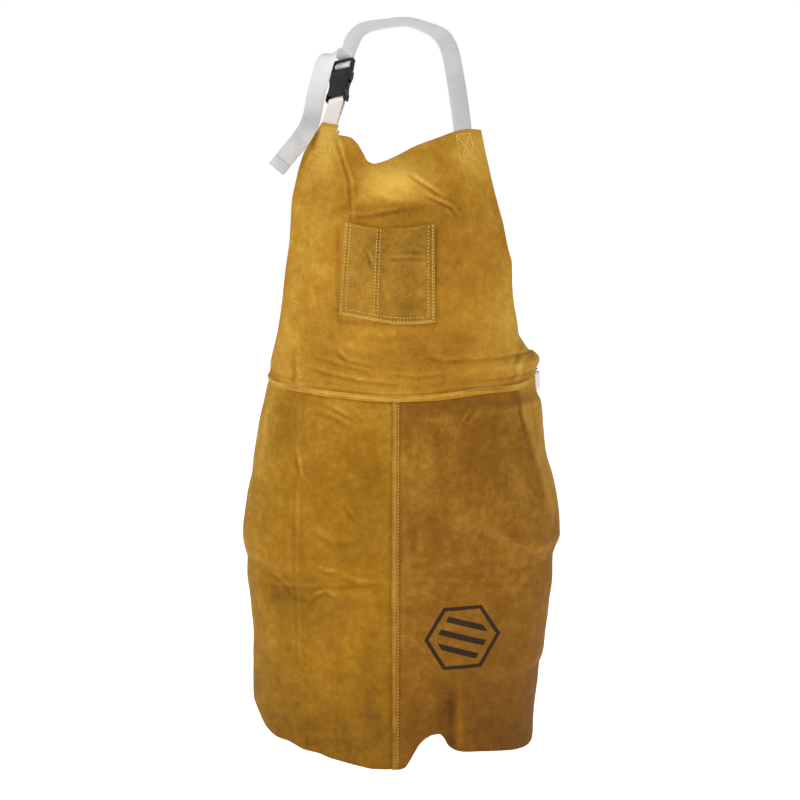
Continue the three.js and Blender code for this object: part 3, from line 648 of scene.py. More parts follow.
POCKET_LEFT = (-66, -75)
POCKET_RIGHT = (52.5, 53.5)
POCKET_TOP = [(0, -269), (0.08, -271), (0.25, -274.5), (0.45, -276.5), (0.7, -275.5), (0.9, -272), (1, -270)]
POCKET_BOTTOM = [(0, -391), (0.2, -394.5), (0.45, -399.5), (0.65, -402.5), (0.85, -402), (1, -400)]
POCKET_DIVIDER = 0.388
POCKET_LEATHER = 1.5
EDGE_ROWS = (2.9, 8.3)
POCKET_CREASES = [
    ([(-38, -306), (-33, -316), (-31, -328)], 1.0, 2.6),
    ([(-12, -318), (20, -316), (48, -318)], 0.8, 2.6),
    ([(-20, -340), (-17, -356), (-14, -374)], 0.8, 4),
    ([(-10, -286), (16, -289), (40, -286)], 0.5, 5),
]
# The pocket's width and height at its mouth, where the rows start, and through its middle
MOUTH_WIDTH, SIDE_HEIGHT = 118, 126
MIDDLE_WIDTH, MIDDLE_HEIGHT = 122, 127


def pocket_place(u, v):
    z = mix(smooth(POCKET_TOP, u), smooth(POCKET_BOTTOM, u), v)
    x = mix(mix(POCKET_LEFT[0], POCKET_LEFT[1], v), mix(POCKET_RIGHT[0], POCKET_RIGHT[1], v), u)
    return x, z


def pocket_edge(u, v):
    """How far in from the pocket's sewn edges."""
    return np.minimum(np.minimum(u, 1 - u) * MIDDLE_WIDTH, (1 - v) * MIDDLE_HEIGHT)


def pocket_height(u, v):
    """How far the pocket stands off the bib: drawn down along its rows of stitches."""
    in_pen = u < POCKET_DIVIDER
    across = np.where(in_pen, u / POCKET_DIVIDER, (u - POCKET_DIVIDER) / (1 - POCKET_DIVIDER))
    bulge = np.where(in_pen, 4.4, 5.6) * np.sin(math.pi * np.clip(across, 0, 1)) ** 1.1
    bulge *= step(1.0, 0.66, v) * mix(0.75, 1.0, step(0.3, 0.0, v))
    mouth_roll = 0.8 * step(0.05, 0.0, v)
    edge = pocket_edge(u, v)
    rows = sum(bell(edge, row, 1.3) for row in EDGE_ROWS)
    return bulge + mouth_roll + 0.5 * bell(edge, 0.8, 1.3) - 0.45 * rows


def make_pocket():
    u, v = unit_grid(POCKET_COLUMNS, POCKET_ROWS)
    x, z = pocket_place(u, v)
    centre_x, half = smooth(CENTRE_X, z), smooth(HALF_WIDTH, z)
    sine = (x - centre_x) / half
    lift = BIB_LIFT + LEATHER + 0.25 + POCKET_LEATHER
    points = form_point(np.abs(sine), centre_x + np.sign(sine) * half, z, lift)
    worn = 0.5 * noise(x, z, 22, 51) + 0.2 * noise(x, z, 7, 52, 2) + creases(x, z, POCKET_CREASES)
    worn *= step(0, 0.1, np.minimum(u, 1 - u))
    outer = push_out(points, bib_relief(x, z) + pocket_height(u, v) + worn)
    inner = outer - grid_out(outer) * POCKET_LEATHER
    main_bay = step(POCKET_DIVIDER - 0.02, POCKET_DIVIDER + 0.03, u)
    rims = 0.12 * step(0.045, 0.0, 1 - v) + 0.10 * step(0.03, 0, v) + 0.22 * bell(pocket_edge(u, v), 0, 1.6)
    tone = patches(x, z, POCKET_TONES) + rims - 0.10 - 0.08 * main_bay
    # Painted light on the pocket's ridges and painted shade in its furrows, over its own tone
    return slab("pocket_leather", outer, inner, tones=tone + fold_wear_and_shade(outer)), outer


bib, bib_outer = make_bib()
skirt_left, _ = make_skirt("left", -1, LEFT_LIFT, left_relief, left_tone)
skirt_right, right_outer = make_skirt("right", 1, RIGHT_LIFT, right_relief, right_tone)
pocket, pocket_outer = make_pocket()

# ------------------------------------------------------------
# Stitches

STITCH_PITCH = 4.4
STITCH_LENGTH = 2.9
THREAD_RADIUS = 0.72


def stitches(name, paths, radius=THREAD_RADIUS, length=STITCH_LENGTH, seed=5):
    """Rows of separate stitches: each dips into the leather at both ends and stands up between."""
    vertices, faces, uvs = [], [], []
    rng = np.random.default_rng(seed)
    sides, rings = 8, 7
    arch = np.sin(math.pi * np.linspace(0, 1, rings)) ** 0.7
    for path, normals in paths:
        along = running_length(path)
        count = max(int(round(along[-1] / STITCH_PITCH)), 1)
        marks = np.arange(count + 1) * along[-1] / count
        for start, end in zip(marks[:-1], marks[1:]):
            gap = (end - start) * (1 - length / STITCH_PITCH) / 2
            places = np.linspace(start + gap, end - gap, rings)
            spine = read_off(path, along, places)
            normal = normalised(read_off(normals, along, places))
            side = np.cross(normalised(np.gradient(spine, axis=0)), normal)
            sway = rng.normal(0, 0.12)
            spine = spine + normal * (radius * (1.1 * arch - 0.35))[:, None] + side * (sway * arch)[:, None]
            girth = radius * (0.72 + 0.28 * arch) * rng.uniform(0.92, 1.06)
            faces += tube_faces(len(vertices), rings, sides)
            for ring in range(rings):
                for corner in range(sides):
                    turn = 2 * math.pi * corner / sides
                    offset = math.cos(turn) * side[ring] + math.sin(turn) * normal[ring]
                    vertices.append(spine[ring] + offset * girth[ring])
                    uvs.append((turn * radius, places[ring]))
    item = make_object(name, vertices, faces, uvs)
    face_outwards(item)
    return item


def grid_path(points, us, vs):
    return sample_grid(points, np.asarray(us, float), np.asarray(vs, float))


def on_bib(x, z):
    """Points of the bib's outer face, and its directions outwards there."""
    x, z = np.asarray(x, float), np.asarray(z, float)
    centre_x, half = smooth(CENTRE_X, z), smooth(HALF_WIDTH, z)
    reach = np.abs(np.where(x < centre_x, smooth(BIB_LEFT, z), smooth(BIB_RIGHT, z)) - centre_x)
    half = np.maximum(half, reach)
    side = np.arcsin(np.clip((x - centre_x) / half, -1, 1)) / np.arcsin(np.clip(reach / half, 0, 1))
    top = smooth(BIB_TOP, side)
    bottom = smooth(WAIST_ROW_Z, side * BIB_HALF) - ROW_TO_EDGE
    return grid_path(bib_outer, (side + 1) / 2, (z - top) / (bottom - top))


def bib_line(a, b):
    shares = np.linspace(0, 1, 24)
    return on_bib(mix(a[0], b[0], shares), mix(a[1], b[1], shares))


def behind(path, depth):
    """The same row of stitches where it comes out at the back, some depth behind its own face."""
    points, normals = path
    return points - normals * depth, -normals


def behind_at(path, depth):
    """The back of a row that is sewn through the bib from a layer in front of it."""
    points, _ = path
    return behind(on_bib(points[:, 0], points[:, 2]), depth)


def skirt_back_row(way):
    """The waist row where it comes out behind one skirt panel."""
    x = np.linspace(6 if way < 0 else -2, way * 186, 110)
    z = smooth(WAIST_ROW_Z, x)
    centre_x, edge_x = smooth(CENTRE_X, z), skirt_edge(way, z)
    sine = np.clip((x - centre_x) / (edge_x - centre_x), -1, 1)
    points = form_point(sine, edge_x, z, LEFT_LIFT if way < 0 else RIGHT_LIFT)
    return points, -outward(*points.T)


def make_waist_row():
    side = np.linspace(-0.985, 0.985, 260)
    top = smooth(BIB_TOP, side)
    row = smooth(WAIST_ROW_Z, side * BIB_HALF)
    front = grid_path(bib_outer, (side + 1) / 2, (row - top) / (row - ROW_TO_EDGE - top))
    return stitches("waist_stitches", [front, skirt_back_row(-1), skirt_back_row(1)], radius=0.6, seed=6)


def make_centre_row(row_x=5.0):
    rows = np.linspace(0.028, 0.993, 220)
    last_row, last_column = right_outer.shape[0] - 1, right_outer.shape[1] - 1
    columns = np.arange(last_column + 1)
    us = [np.interp(row_x, right_outer[int(share * last_row), :, 0], columns) / last_column for share in rows]
    front = grid_path(right_outer, us, rows)
    back = behind(front, RIGHT_LIFT - LEFT_LIFT + LEATHER)
    return stitches("centre_stitches", [front, back], radius=0.52, seed=7)


def pocket_edge_row(name, inset, seed):
    across, down = inset / MOUTH_WIDTH, inset / SIDE_HEIGHT
    left = ([across] * 40, np.linspace(0.012, 1 - down, 40))
    bottom = (np.linspace(across, 1 - across, 40), [1 - down] * 40)
    right = ([1 - across] * 40, np.linspace(1 - down, 0.012, 40))
    fronts = [grid_path(pocket_outer, *leg) for leg in (left, bottom, right)]
    return stitches(name, fronts + [behind_at(front, LEATHER) for front in fronts], seed=seed)


def pocket_divider_row(name, offset, seed):
    us = [POCKET_DIVIDER + offset / MOUTH_WIDTH] * 40
    front = grid_path(pocket_outer, us, np.linspace(0.012, 0.9, 40))
    return stitches(name, [front, behind_at(front, LEATHER)], seed=seed)


def box_and_cross(name, corners, depth, seed):
    """A box with a cross in it, seen on the leather and on the webbing behind it."""
    a, b, c, d = corners
    fronts = [bib_line(*line) for line in ((a, b), (b, c), (c, d), (d, a), (a, c), (b, d))]
    backs = [behind(front, LEATHER + depth) for front in fronts]
    return stitches(name, fronts + backs, radius=0.8, length=4.0, seed=seed)


def belt_tack(name, share, seed):
    """A dense bar of stitches through the ear of the bib and the belt behind it."""
    down = np.linspace(0.905, 0.965, 12)
    paths = [grid_path(bib_outer, [share + offset] * 12, down) for offset in (-0.004, 0.0, 0.004)]
    return stitches(name, paths, radius=0.6, seed=seed)


def tuck(item, node, body="apron"):
    """Lets a piece ride on a body and stand for a CAD node."""
    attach(item, body)
    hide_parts(node)
    return item


# What repeats in pairs: a row's maker, its name, the name of one of the pair, where it runs, and its seed
PAIRED_ROWS = [
    (pocket_edge_row, "pocket_edge", "outer", [EDGE_ROWS[0]], 8),
    (pocket_edge_row, "pocket_edge", "inner", [EDGE_ROWS[1]], 9),
    (pocket_divider_row, "pocket_divider", "left", [-2.3], 10),
    (pocket_divider_row, "pocket_divider", "right", [2.3], 12),
    (box_and_cross, "neck_anchor", "left", [[(-99, -146), (-80, -148), (-91, -184), (-109, -180)], 4.3], 13),
    (box_and_cross, "neck_anchor", "right", [[(78, -156), (96, -153), (104, -188), (85, -190)], 2.0], 14),
    (belt_tack, "belt_anchor", "left", [0.028], 15),
    (belt_tack, "belt_anchor", "right", [0.972], 16),
]
thread_pieces = [tuck(make_waist_row(), "waist_seam_thread"), tuck(make_centre_row(), "centre_seam_thread")]
for make_row, name, which, where, seed in PAIRED_ROWS:
    thread_pieces.append(tuck(make_row(f"{name}_stitches_{which}", *where, seed), f"{name}_thread_{which}"))

tuck(bib, "bib_panel")
tuck(skirt_left, "skirt_panel_left")
tuck(skirt_right, "skirt_panel_right")
tuck(pocket, "chest_pocket")

# ------------------------------------------------------------
# Webbing, along the same stations as its CAD solids: a place on the centre line and a way across

WEB_WIDTH = 25.0
WEB = 1.5
BELT_Z = -503.0
BELT_DOWN = (0, 0, -1)


def catmull(stations, count):
    """Points along a smooth curve through stations, evenly shared between them, with the ends kept."""
    points = np.array(stations, float)
    points = np.concatenate([[2 * points[0] - points[1]], points, [2 * points[-1] - points[-2]]])
    segments = len(points) - 3
    at = np.linspace(0, segments, count)
    index = np.minimum(at.astype(int), segments - 1)
    t = (at - index)[:, None]
    p0, p1, p2, p3 = (points[index + k] for k in range(4))
    squared = 2 * p0 - 5 * p1 + 4 * p2 - p3
    cubed = 3 * p1 - p0 - 3 * p2 + p3
    return 0.5 * (2 * p1 + (p2 - p0) * t + squared * t**2 + cubed * t**3)


def even(points, ways, spacing):
    """The same path with its points a fixed distance apart."""
    along = running_length(points)
    marks = np.linspace(0, along[-1], max(int(along[-1] / spacing), 8))
    return read_off(points, along, marks), read_off(ways, along, marks), marks


def webbing(name, stations, seed, width=WEB_WIDTH, thickness=WEB):
    """A woven strap: flat in the middle, thin and rounded along both selvedges."""
    centres = catmull([at for at, _ in stations], 1200)
    ways = catmull([across for _, across in stations], 1200)
    centres, ways, marks = even(centres, ways, 1.6)
    tangent = normalised(np.gradient(centres, axis=0))
    ways = normalised(ways - np.einsum("ij,ij->i", ways, tangent)[:, None] * tangent)
    normal = np.cross(tangent, ways)
    share = np.linspace(-1, 1, 15)
    half_thickness = thickness / 2 * np.sqrt(np.clip(1 - np.abs(share) ** 10, 0.0, 1)) * 0.9 + 0.05
    waver = 0.18 * noise(marks, 0 * marks, 30, seed)
    across = (share * width / 2 + waver[:, None])[..., None]
    surface = []
    for face in (1, -1):
        ripple = 0.05 * noise(marks[:, None] + 0 * share, share * 12 + 0 * marks[:, None], 9, seed + face)
        height = (face * half_thickness + ripple)[..., None]
        surface.append(centres[:, None] + ways[:, None] * across + normal[:, None] * height)
    return slab(name, *surface, rim_bulge=0.1)


def buckle_axes(along, facing):
    up = normalised(along)
    back = -np.array(facing, float)
    back = normalised(back - back.dot(up) * up)
    return np.cross(back, up), back, up


NECK_BAR, WAIST_BAR = np.array([-87.0, -110.0, -112.0]), np.array([186.0, -21.0, -503.0])
NECK_AXES = buckle_axes((0.105, 0.527, 0.843), (-0.5, -0.8, 0.5))
WAIST_AXES = buckle_axes((-0.5, 0.866, 0), (0.866, 0.5, 0))
BUCKLE_END, MIDDLE_BAR = 67.5, 57.5


def in_buckle(bar, axes, y, z, flip=1):
    right, back, up = axes
    return (bar + back * y + up * z, flip * right)


def ladder_path(bar, axes, flip):
    turn = 1.5 + 0.15 + WEB / 2
    path = [(4.6, BUCKLE_END + 6), (4.4, BUCKLE_END), (4.0, MIDDLE_BAR + 2), (2.7, MIDDLE_BAR - 2.4),
            (0, MIDDLE_BAR - 3.4), (-turn, MIDDLE_BAR - 1.4), (-turn, MIDDLE_BAR + 1.4),
            (-1.2, MIDDLE_BAR + 3.5), (0.6, BUCKLE_END - 3.8), (1.0, BUCKLE_END - 1.5), (1.2, BUCKLE_END + 0.6)]
    return [in_buckle(bar, axes, y, z, flip=flip) for y, z in path]


def loop_path(bar, axes):
    turn = 1.6 + 0.15 + WEB / 2
    path = [(-turn, -6), (-turn, 0), (-turn, 3.2), (-0.7 * turn, 3.2 + 0.7 * turn), (0, 3.2 + turn),
            (0.7 * turn, 3.2 + 0.7 * turn), (turn, 3.2), (turn, 0), (turn, -6)]
    return [in_buckle(bar, axes, y, z) for y, z in path]


def behind_bib(x, z, depth):
    """A station behind the bib's leather, at its own inner face and some depth further in."""
    at, normal = on_bib([x, x + 1], [z, z])
    return (at[0] - normal[0] * (LEATHER + depth), normalised(at[1] - at[0]))


def behind_skirt(degrees, depth):
    """A station of the belt behind a skirt's leather, so many degrees round from the front."""
    way = -1 if degrees < 0 else 1
    side_x = skirt_edge(way, BELT_Z) - way * (LEATHER + depth)
    return (form_point(abs(math.sin(math.radians(degrees))), side_x, BELT_Z, -depth), BELT_DOWN)


def belt_point(degrees):
    """A station of the belt behind the wearer, where it runs round an ellipse."""
    turn = math.radians(degrees)
    return ((191 * math.cos(turn), -50 + 122 * math.sin(turn), BELT_Z), BELT_DOWN)


NECK_STRAP = [
    behind_bib(95, -192, 1.3),
    behind_bib(88, -160, 1.3),
    ((85, -145, -141), (0.95, 0.28, 0)),
    ((79, -117, -108), (0.95, 0.28, 0.1)),
    ((72, -84, -74), (0.94, 0.3, 0.15)),
    ((63, -50, -40), (0.9, 0.3, 0.3)),
    ((49, -22, -19), (0.66, 0.5, 0.55)),
    ((26, -6, -7), (0.25, 0.77, 0.58)),
    ((0, -0.4, 0.2), (0, 0.8, 0.6)),
    ((-32, -3, -2.5), (-0.15, 0.78, 0.6)),
    ((-57, -12, -8), (-0.5, 0.6, 0.58)),
    ((-68.5, -24, -17.5), (-0.82, 0.45, 0.3)),
    ((-73, -37, -27.5), (-0.9, 0.38, 0.1)),
]
NECK_TAIL = [
    in_buckle(NECK_BAR, NECK_AXES, 1.3, BUCKLE_END + 1.2),
    in_buckle(NECK_BAR, NECK_AXES, 0.6, BUCKLE_END + 5),
    ((-84.5, -79, -46.5), (0.87, -0.3, 0.3)),
    ((-93, -87, -46), (0.87, -0.2, 0.42)),
    ((-104, -94, -58), (0.95, -0.1, 0)),
    ((-110, -101, -80), (0.97, 0, -0.2)),
    ((-115, -113, -103), (0.97, 0, -0.2)),
    ((-117, -131, -127), (0.97, 0, -0.2)),
    ((-121, -151, -146), (0.94, 0, -0.33)),
    ((-133, -161, -166), (0.83, 0.05, -0.56)),
    ((-148, -165, -184), (0.8, 0.05, -0.6)),
    ((-162, -167, -201), (0.8, 0.05, -0.6)),
]
NECK_LOOP = [behind_bib(-101, -181, 1.2), behind_bib(-96, -150, 1.2), *loop_path(NECK_BAR, NECK_AXES),
             behind_bib(-96, -150, 3.6), behind_bib(-101, -181, 3.6)]

WAIST_BELT = [
    *[behind_skirt(degrees, 1.6) for degrees in (-74, -82, -89)],
    *[belt_point(degrees) for degrees in (172, 155, 138, 121, 104, 87, 70)],
    ((88, 61.5, BELT_Z), BELT_DOWN),
    ((112, 51.5, BELT_Z), BELT_DOWN),
    ((130, 42, BELT_Z), BELT_DOWN),
]
BELT_TAIL = [
    in_buckle(WAIST_BAR, WAIST_AXES, 0.6, BUCKLE_END + 3),
    in_buckle(WAIST_BAR, WAIST_AXES, -3.5, BUCKLE_END + 10),
    ((128, 64, BELT_Z - 4), (0, 0.08, -1)),
    ((100, 80, BELT_Z - 10), (-0.05, 0.12, -1)),
    ((70, 90, BELT_Z - 19), (-0.12, 0.14, -1)),
    ((44, 93, BELT_Z - 30), (-0.2, 0.14, -1)),
    ((13, 90, BELT_Z - 44), (-0.28, 0.14, -1)),
]
BELT_LOOP = [
    *[behind_skirt(degrees, 1.6) for degrees in (74, 82, 88)],
    ((193, -36, BELT_Z), BELT_DOWN),
    *loop_path(WAIST_BAR, WAIST_AXES),
    ((190.5, -36, BELT_Z), BELT_DOWN),
    *[behind_skirt(degrees, 4.0) for degrees in (88, 82, 74)],
]
# Which way the outer face of each tail's end looks: forwards at the neck and backwards at the belt
NECK_FACE_Y, BELT_FACE_Y = -1, 1


def downwards(axes):
    """Whether a buckle's own right points down, so that a strap crossing it needn't turn over."""
    return 1 if axes[0][2] < 0 else -1


def tail_end(tail, face_y):
    """A tail's end, the way it runs, the way across it and the way its outer face looks."""
    before, end = (np.array(at, float) for at, _ in tail[-2:])
    tangent = normalised(end - before)
    side = np.array(tail[-1][1], float)
    side = normalised(side - side.dot(tangent) * tangent)
    normal = np.cross(tangent, side)
    return end, tangent, side, normal * np.sign(normal[1] * face_y)


def tail_hem(name, tail, face_y, seed):
    """The two rows of stitches that hold the folded end of a free tail."""
    end, tangent, side, normal = tail_end(tail, face_y)
    shares = np.linspace(-0.42, 0.42, 12)
    paths = []
    for back in (9, 6.8):
        line = np.array([end - tangent * back + side * share * WEB_WIDTH + normal * 1.55 for share in shares])
        paths.append((line, np.repeat(normal[None], len(line), 0)))
    return stitches(name, paths, radius=0.5, seed=seed)


def folded_stations(tail, face_y):
    """The last 14 mm of a tail again, lying on its outer face: the hem turned over and sewn down."""
    end, tangent, side, normal = tail_end(tail, face_y)
    return [(end - tangent * back + normal * 1.3, side) for back in (14, 9, 4, -0.6)]


def make_tail(name, node, tail, face_y, body, seed):
    item = webbing(name, tail, seed)
    fold = webbing(f"{name}_fold", folded_stations(tail, face_y), seed + 1,
                   width=WEB_WIDTH - 0.8, thickness=1.3)
    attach(item, body)
    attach(fold, body)
    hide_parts(node)
    return item, fold


neck_hem = tuck(tail_hem("neck_tail_hem_stitches", NECK_TAIL, NECK_FACE_Y, 17), "neck_tail_hem_thread",
                "neck_buckle_plug")
belt_hem = tuck(tail_hem("belt_tail_hem_stitches", BELT_TAIL, BELT_FACE_Y, 18), "belt_tail_hem_thread",
                "waist_buckle_plug")
thread_pieces += [neck_hem, belt_hem]

neck_strap = webbing("neck_webbing", NECK_STRAP + ladder_path(NECK_BAR, NECK_AXES, -1), 31)
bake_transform(neck_strap)
waist_ladder = ladder_path(WAIST_BAR, WAIST_AXES, downwards(WAIST_AXES))
waist_belt = webbing("belt_webbing", WAIST_BELT + waist_ladder, 35)
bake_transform(waist_belt)
for strap, node in ((neck_strap, "neck_strap"), (waist_belt, "waist_belt")):
    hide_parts(node)
    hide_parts(f"{node}_end")
neck_loop = tuck(webbing("neck_socket_webbing", NECK_LOOP, 33), "neck_socket_loop")
belt_loop = tuck(webbing("belt_socket_webbing", BELT_LOOP, 37), "waist_socket_loop")
neck_tail, neck_fold = make_tail("neck_webbing_tail", "neck_strap_tail", NECK_TAIL, NECK_FACE_Y,
                                 "neck_buckle_plug", 34)
belt_tail, belt_fold = make_tail("belt_webbing_tail", "waist_belt_tail", BELT_TAIL, BELT_FACE_Y,
                                 "waist_buckle_plug", 38)
web_pieces = [neck_strap, neck_loop, neck_tail, neck_fold, waist_belt, belt_loop, belt_tail, belt_fold]

# ------------------------------------------------------------
# Buckles: the CAD shapes with softened edges, and ribs on their thumb pads


def softened(node, name, body, radius):
    """A CAD solid with rounded edges and flat faces."""
    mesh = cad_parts[node].data.copy()
    mesh.materials.clear()
    item = bpy.data.objects.new(name, mesh)
    bpy.context.scene.collection.objects.link(item)
    weld = item.modifiers.new("weld", "WELD")
    weld.merge_threshold = 0.00002
    bevel = item.modifiers.new("soften", "BEVEL")
    bevel.width = radius * MM
    bevel.segments = 3
    bevel.limit_method = "ANGLE"
    bevel.angle_limit = math.radians(35)
    mesh.polygons.foreach_set("use_smooth", [True] * len(mesh.polygons))
    mesh.update()
    mesh.set_sharp_from_angle(angle=math.radians(40))
    return tuck(item, node, body)


def buckle_rib(name, bar, axes, x, z, body):
    """A low moulded ridge across a thumb pad, given in the buckle's own frame."""
    right, back, up = axes
    sides, rings = 10, 9
    radius, half = 0.42, 2.1
    vertices = []
    for t in np.linspace(-1, 1, rings):
        girth = radius * math.sqrt(max(1 - t**4, 0.02))
        for corner in range(sides):
            turn = 2 * math.pi * corner / sides
            out = right * (x + girth * math.cos(turn)) + up * (z + girth * math.sin(turn))
            vertices.append(bar + back * t * half + out)
    item = make_object(name, vertices, tube_faces(0, rings, sides))
    face_outwards(item)
    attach(item, body)
    return item


def make_buckle(prefix, bar, axes):
    plug = f"{prefix}_buckle_plug"
    pieces = [
        softened(f"{prefix}_buckle_socket", f"{prefix}_socket_shell", "apron", 0.5),
        softened(f"{prefix}_buckle_frame", f"{prefix}_plug_ladder", plug, 0.4),
    ]
    for side, way in (("left", -1), ("right", 1)):
        body = f"{prefix}_prong_{side}"
        pieces.append(softened(f"{prefix}_buckle_prong_{side}", f"{prefix}_thumb_prong_{side}", body, 0.35))
        for index, z in enumerate((18.5, 21, 23.5, 26)):
            edge = 15.25 - 0.035 * (z - 22.5) ** 2
            name = f"{prefix}_thumb_rib_{side}_{index + 1}"
            pieces.append(buckle_rib(name, bar, axes, way * edge, z, body))
    return pieces


buckle_pieces = make_buckle("neck", NECK_BAR, NECK_AXES) + make_buckle("waist", WAIST_BAR, WAIST_AXES)

# ------------------------------------------------------------
# Materials


class Shader:
    """A short way to write a material's nodes."""

    def __init__(self, name):
        self.material = bpy.data.materials.new(name)
        self.material.use_nodes = True
        self.tree = self.material.node_tree
        self.surface = self.tree.nodes["Principled BSDF"]
        self.place = self.add("TexCoord").outputs["Object"]

    def add(self, kind, settings=None, **inputs):
        """A new node; an input is given by its name, or by its number after an i."""
        made = self.tree.nodes.new(f"ShaderNode{kind}")
        for key, value in (settings or {}).items():
            setattr(made, key, value)
        for key, value in inputs.items():
            self.put(made.inputs[int(key[1:]) if key[0] == "i" and key[1:].isdigit() else key], value)
        return made

    def put(self, socket, value):
        if isinstance(value, bpy.types.NodeSocket):
            self.tree.links.new(value, socket)
        else:
            socket.default_value = value

    def math(self, operation, a, b=0.0):
        return self.add("Math", {"operation": operation}, i0=a, i1=b).outputs[0]

    def plus(self, value, part, share):
        """A value and a share of another one."""
        return self.math("ADD", value, self.math("MULTIPLY", part, share))

    def swayed(self, value, part, share):
        """A value moved up and down by a share of a noise."""
        return self.plus(value, self.math("SUBTRACT", part, 0.5), share)

    def wave(self, value, period):
        return self.math("SINE", self.math("MULTIPLY", value, 2 * math.pi / period))

    def axes(self, vector):
        return self.add("SeparateXYZ", Vector=vector).outputs

    def surface_axes(self):
        """Metres across and along the piece's own surface."""
        return self.axes(self.add("UVMap", {"uv_map": "surface"}).outputs[0])

    def between(self, value, low, high, at_low, at_high):
        return self.add("MapRange", i0=value, i1=low, i2=high, i3=at_low, i4=at_high).outputs[0]

    def noise(self, vector, scale, detail=3.0, roughness=0.55):
        made = self.add("TexNoise", Scale=scale, Detail=detail, Roughness=roughness, Vector=vector)
        return made.outputs["Fac"]

    def stretched(self, vector, scale):
        return self.add("Mapping", Vector=vector, Scale=scale).outputs[0]

    def ramp(self, value, stops):
        made = self.add("ValToRGB", Fac=value)
        elements = made.color_ramp.elements
        while len(elements) < len(stops):
            elements.new(0.5)
        for element, (place, colour) in zip(elements, stops):
            element.position = place
            element.color = (*colour, 1)
        return made.outputs["Color"]

    def bump(self, height, distance, strength=1.0, under=None):
        made = self.add("Bump", Strength=strength, Distance=distance, Height=height)
        if under is not None:
            self.put(made.inputs["Normal"], under)
        return made.outputs["Normal"]

    def finish(self, **inputs):
        for key, value in inputs.items():
            self.put(self.surface.inputs[key.replace("_", " ")], value)
        return self.material


def suede(name, dark, middle, bright, seed, stamp=None):
    """Split leather: brushed nap in patches, paler along rubbed scratches, lighter and darker by its tone,
    which holds colour changes and painted light and shade, with short fibres over it all.
    """
    shader = Shader(name)
    shift = (seed * 0.37, seed * 0.11, seed * 0.23)
    place = shader.add("Mapping", Vector=shader.place, Location=shift).outputs[0]
    cloud = shader.noise(place, 8.0, 4.0, 0.6)
    blotch = shader.noise(place, 34.0, 5.0, 0.62)
    brushed = shader.noise(shader.stretched(place, (1.0, 1.0, 0.55)), 130.0, 4.0, 0.65)
    swept = shader.noise(shader.stretched(place, (0.6, 1.0, 1.3)), 80.0, 4.0, 0.65)
    nap = shader.noise(place, 520.0, 4.0, 0.7)
    fibre = shader.noise(shader.stretched(place, (1.0, 1.0, 0.4)), 1500.0, 2.0, 0.6)
    from_line = shader.math("ABSOLUTE", shader.math("SUBTRACT", shader.noise(place, 24.0, 2.5, 0.5), 0.5))
    gate = shader.between(shader.noise(place, 17.0, 2.0), 0.55, 0.66, 0.0, 1.0)
    scratches = shader.math("MULTIPLY", shader.between(from_line, 0.0, 0.012, 1.0, 0.0), gate)
    # The tone attribute: the leather's own colour changes, with painted light and shade from the folds and
    # patches
    tone = shader.add("Attribute", {"attribute_name": "tone"}).outputs["Fac"]
    value = shader.plus(shader.math("ADD", 0.445, tone), scratches, 0.08)
    shares = ((cloud, 0.42), (blotch, 0.42), (brushed, 0.24), (swept, 0.22), (nap, 0.44), (fibre, 0.3))
    for part, share in shares:
        value = shader.swayed(value, part, share)
    colour = shader.ramp(value, [(0.06, dark), (0.47, middle), (0.92, bright)])
    if stamp is not None:
        worn = shader.math("MULTIPLY", stamp(shader), shader.plus(0.72, nap, 0.4))
        ink = shader.math("MINIMUM", worn, 0.97)
        colour = shader.add("Mix", {"data_type": "RGBA"}, i0=ink, i6=colour, i7=INK).outputs[2]
    bumps = None
    reliefs = ((blotch, 0.002, 0.4), (scratches, 0.0005, 0.6), (brushed, 0.0006, 0.5), (nap, 0.0005, 0.7),
               (fibre, 0.0002, 0.6))
    for part, distance, strength in reliefs:
        bumps = shader.bump(part, distance, strength, bumps)
    return shader.finish(Base_Color=colour, Roughness=shader.plus(0.84, nap, 0.14), Normal=bumps,
                         Specular_IOR_Level=0.12, Sheen_Weight=0.08, Sheen_Roughness=0.45,
                         Sheen_Tint=(1.0, 0.82, 0.5, 1))


INK = (0.018, 0.016, 0.014, 1)
STAMP_X, STAMP_Z, STAMP_SIZE = 0.092, -0.836, 0.042
STAMP_LINE, BAR_GAP = 0.0026, 0.0105


def generic_stamp(shader):
    """A plain ink stamp on the outer face: a hexagon outline with three slanting bars in it."""
    parts = shader.axes(shader.place)
    along, up = shader.math("SUBTRACT", parts[0], STAMP_X), shader.math("SUBTRACT", parts[2], STAMP_Z)
    width, height = shader.math("ABSOLUTE", along), shader.math("ABSOLUTE", up)
    slope = shader.plus(shader.math("MULTIPLY", width, 0.866), height, 0.5)
    hexagon = shader.math("MAXIMUM", slope, height)
    from_edge = shader.math("ABSOLUTE", shader.math("SUBTRACT", hexagon, STAMP_SIZE))
    outline = shader.math("LESS_THAN", from_edge, STAMP_LINE)
    inside = shader.math("LESS_THAN", hexagon, STAMP_SIZE * 0.76)
    slanted = shader.plus(up, along, 0.35)
    wave = shader.math("PINGPONG", shader.math("ADD", slanted, BAR_GAP), BAR_GAP)
    bars = shader.math("MULTIPLY", inside, shader.math("GREATER_THAN", wave, 0.0062))
    facing = shader.axes(shader.add("NewGeometry").outputs["Normal"])[1]
    outer_face = shader.math("LESS_THAN", facing, 0.0)
    return shader.math("MULTIPLY", shader.math("MAXIMUM", outline, bars), outer_face)


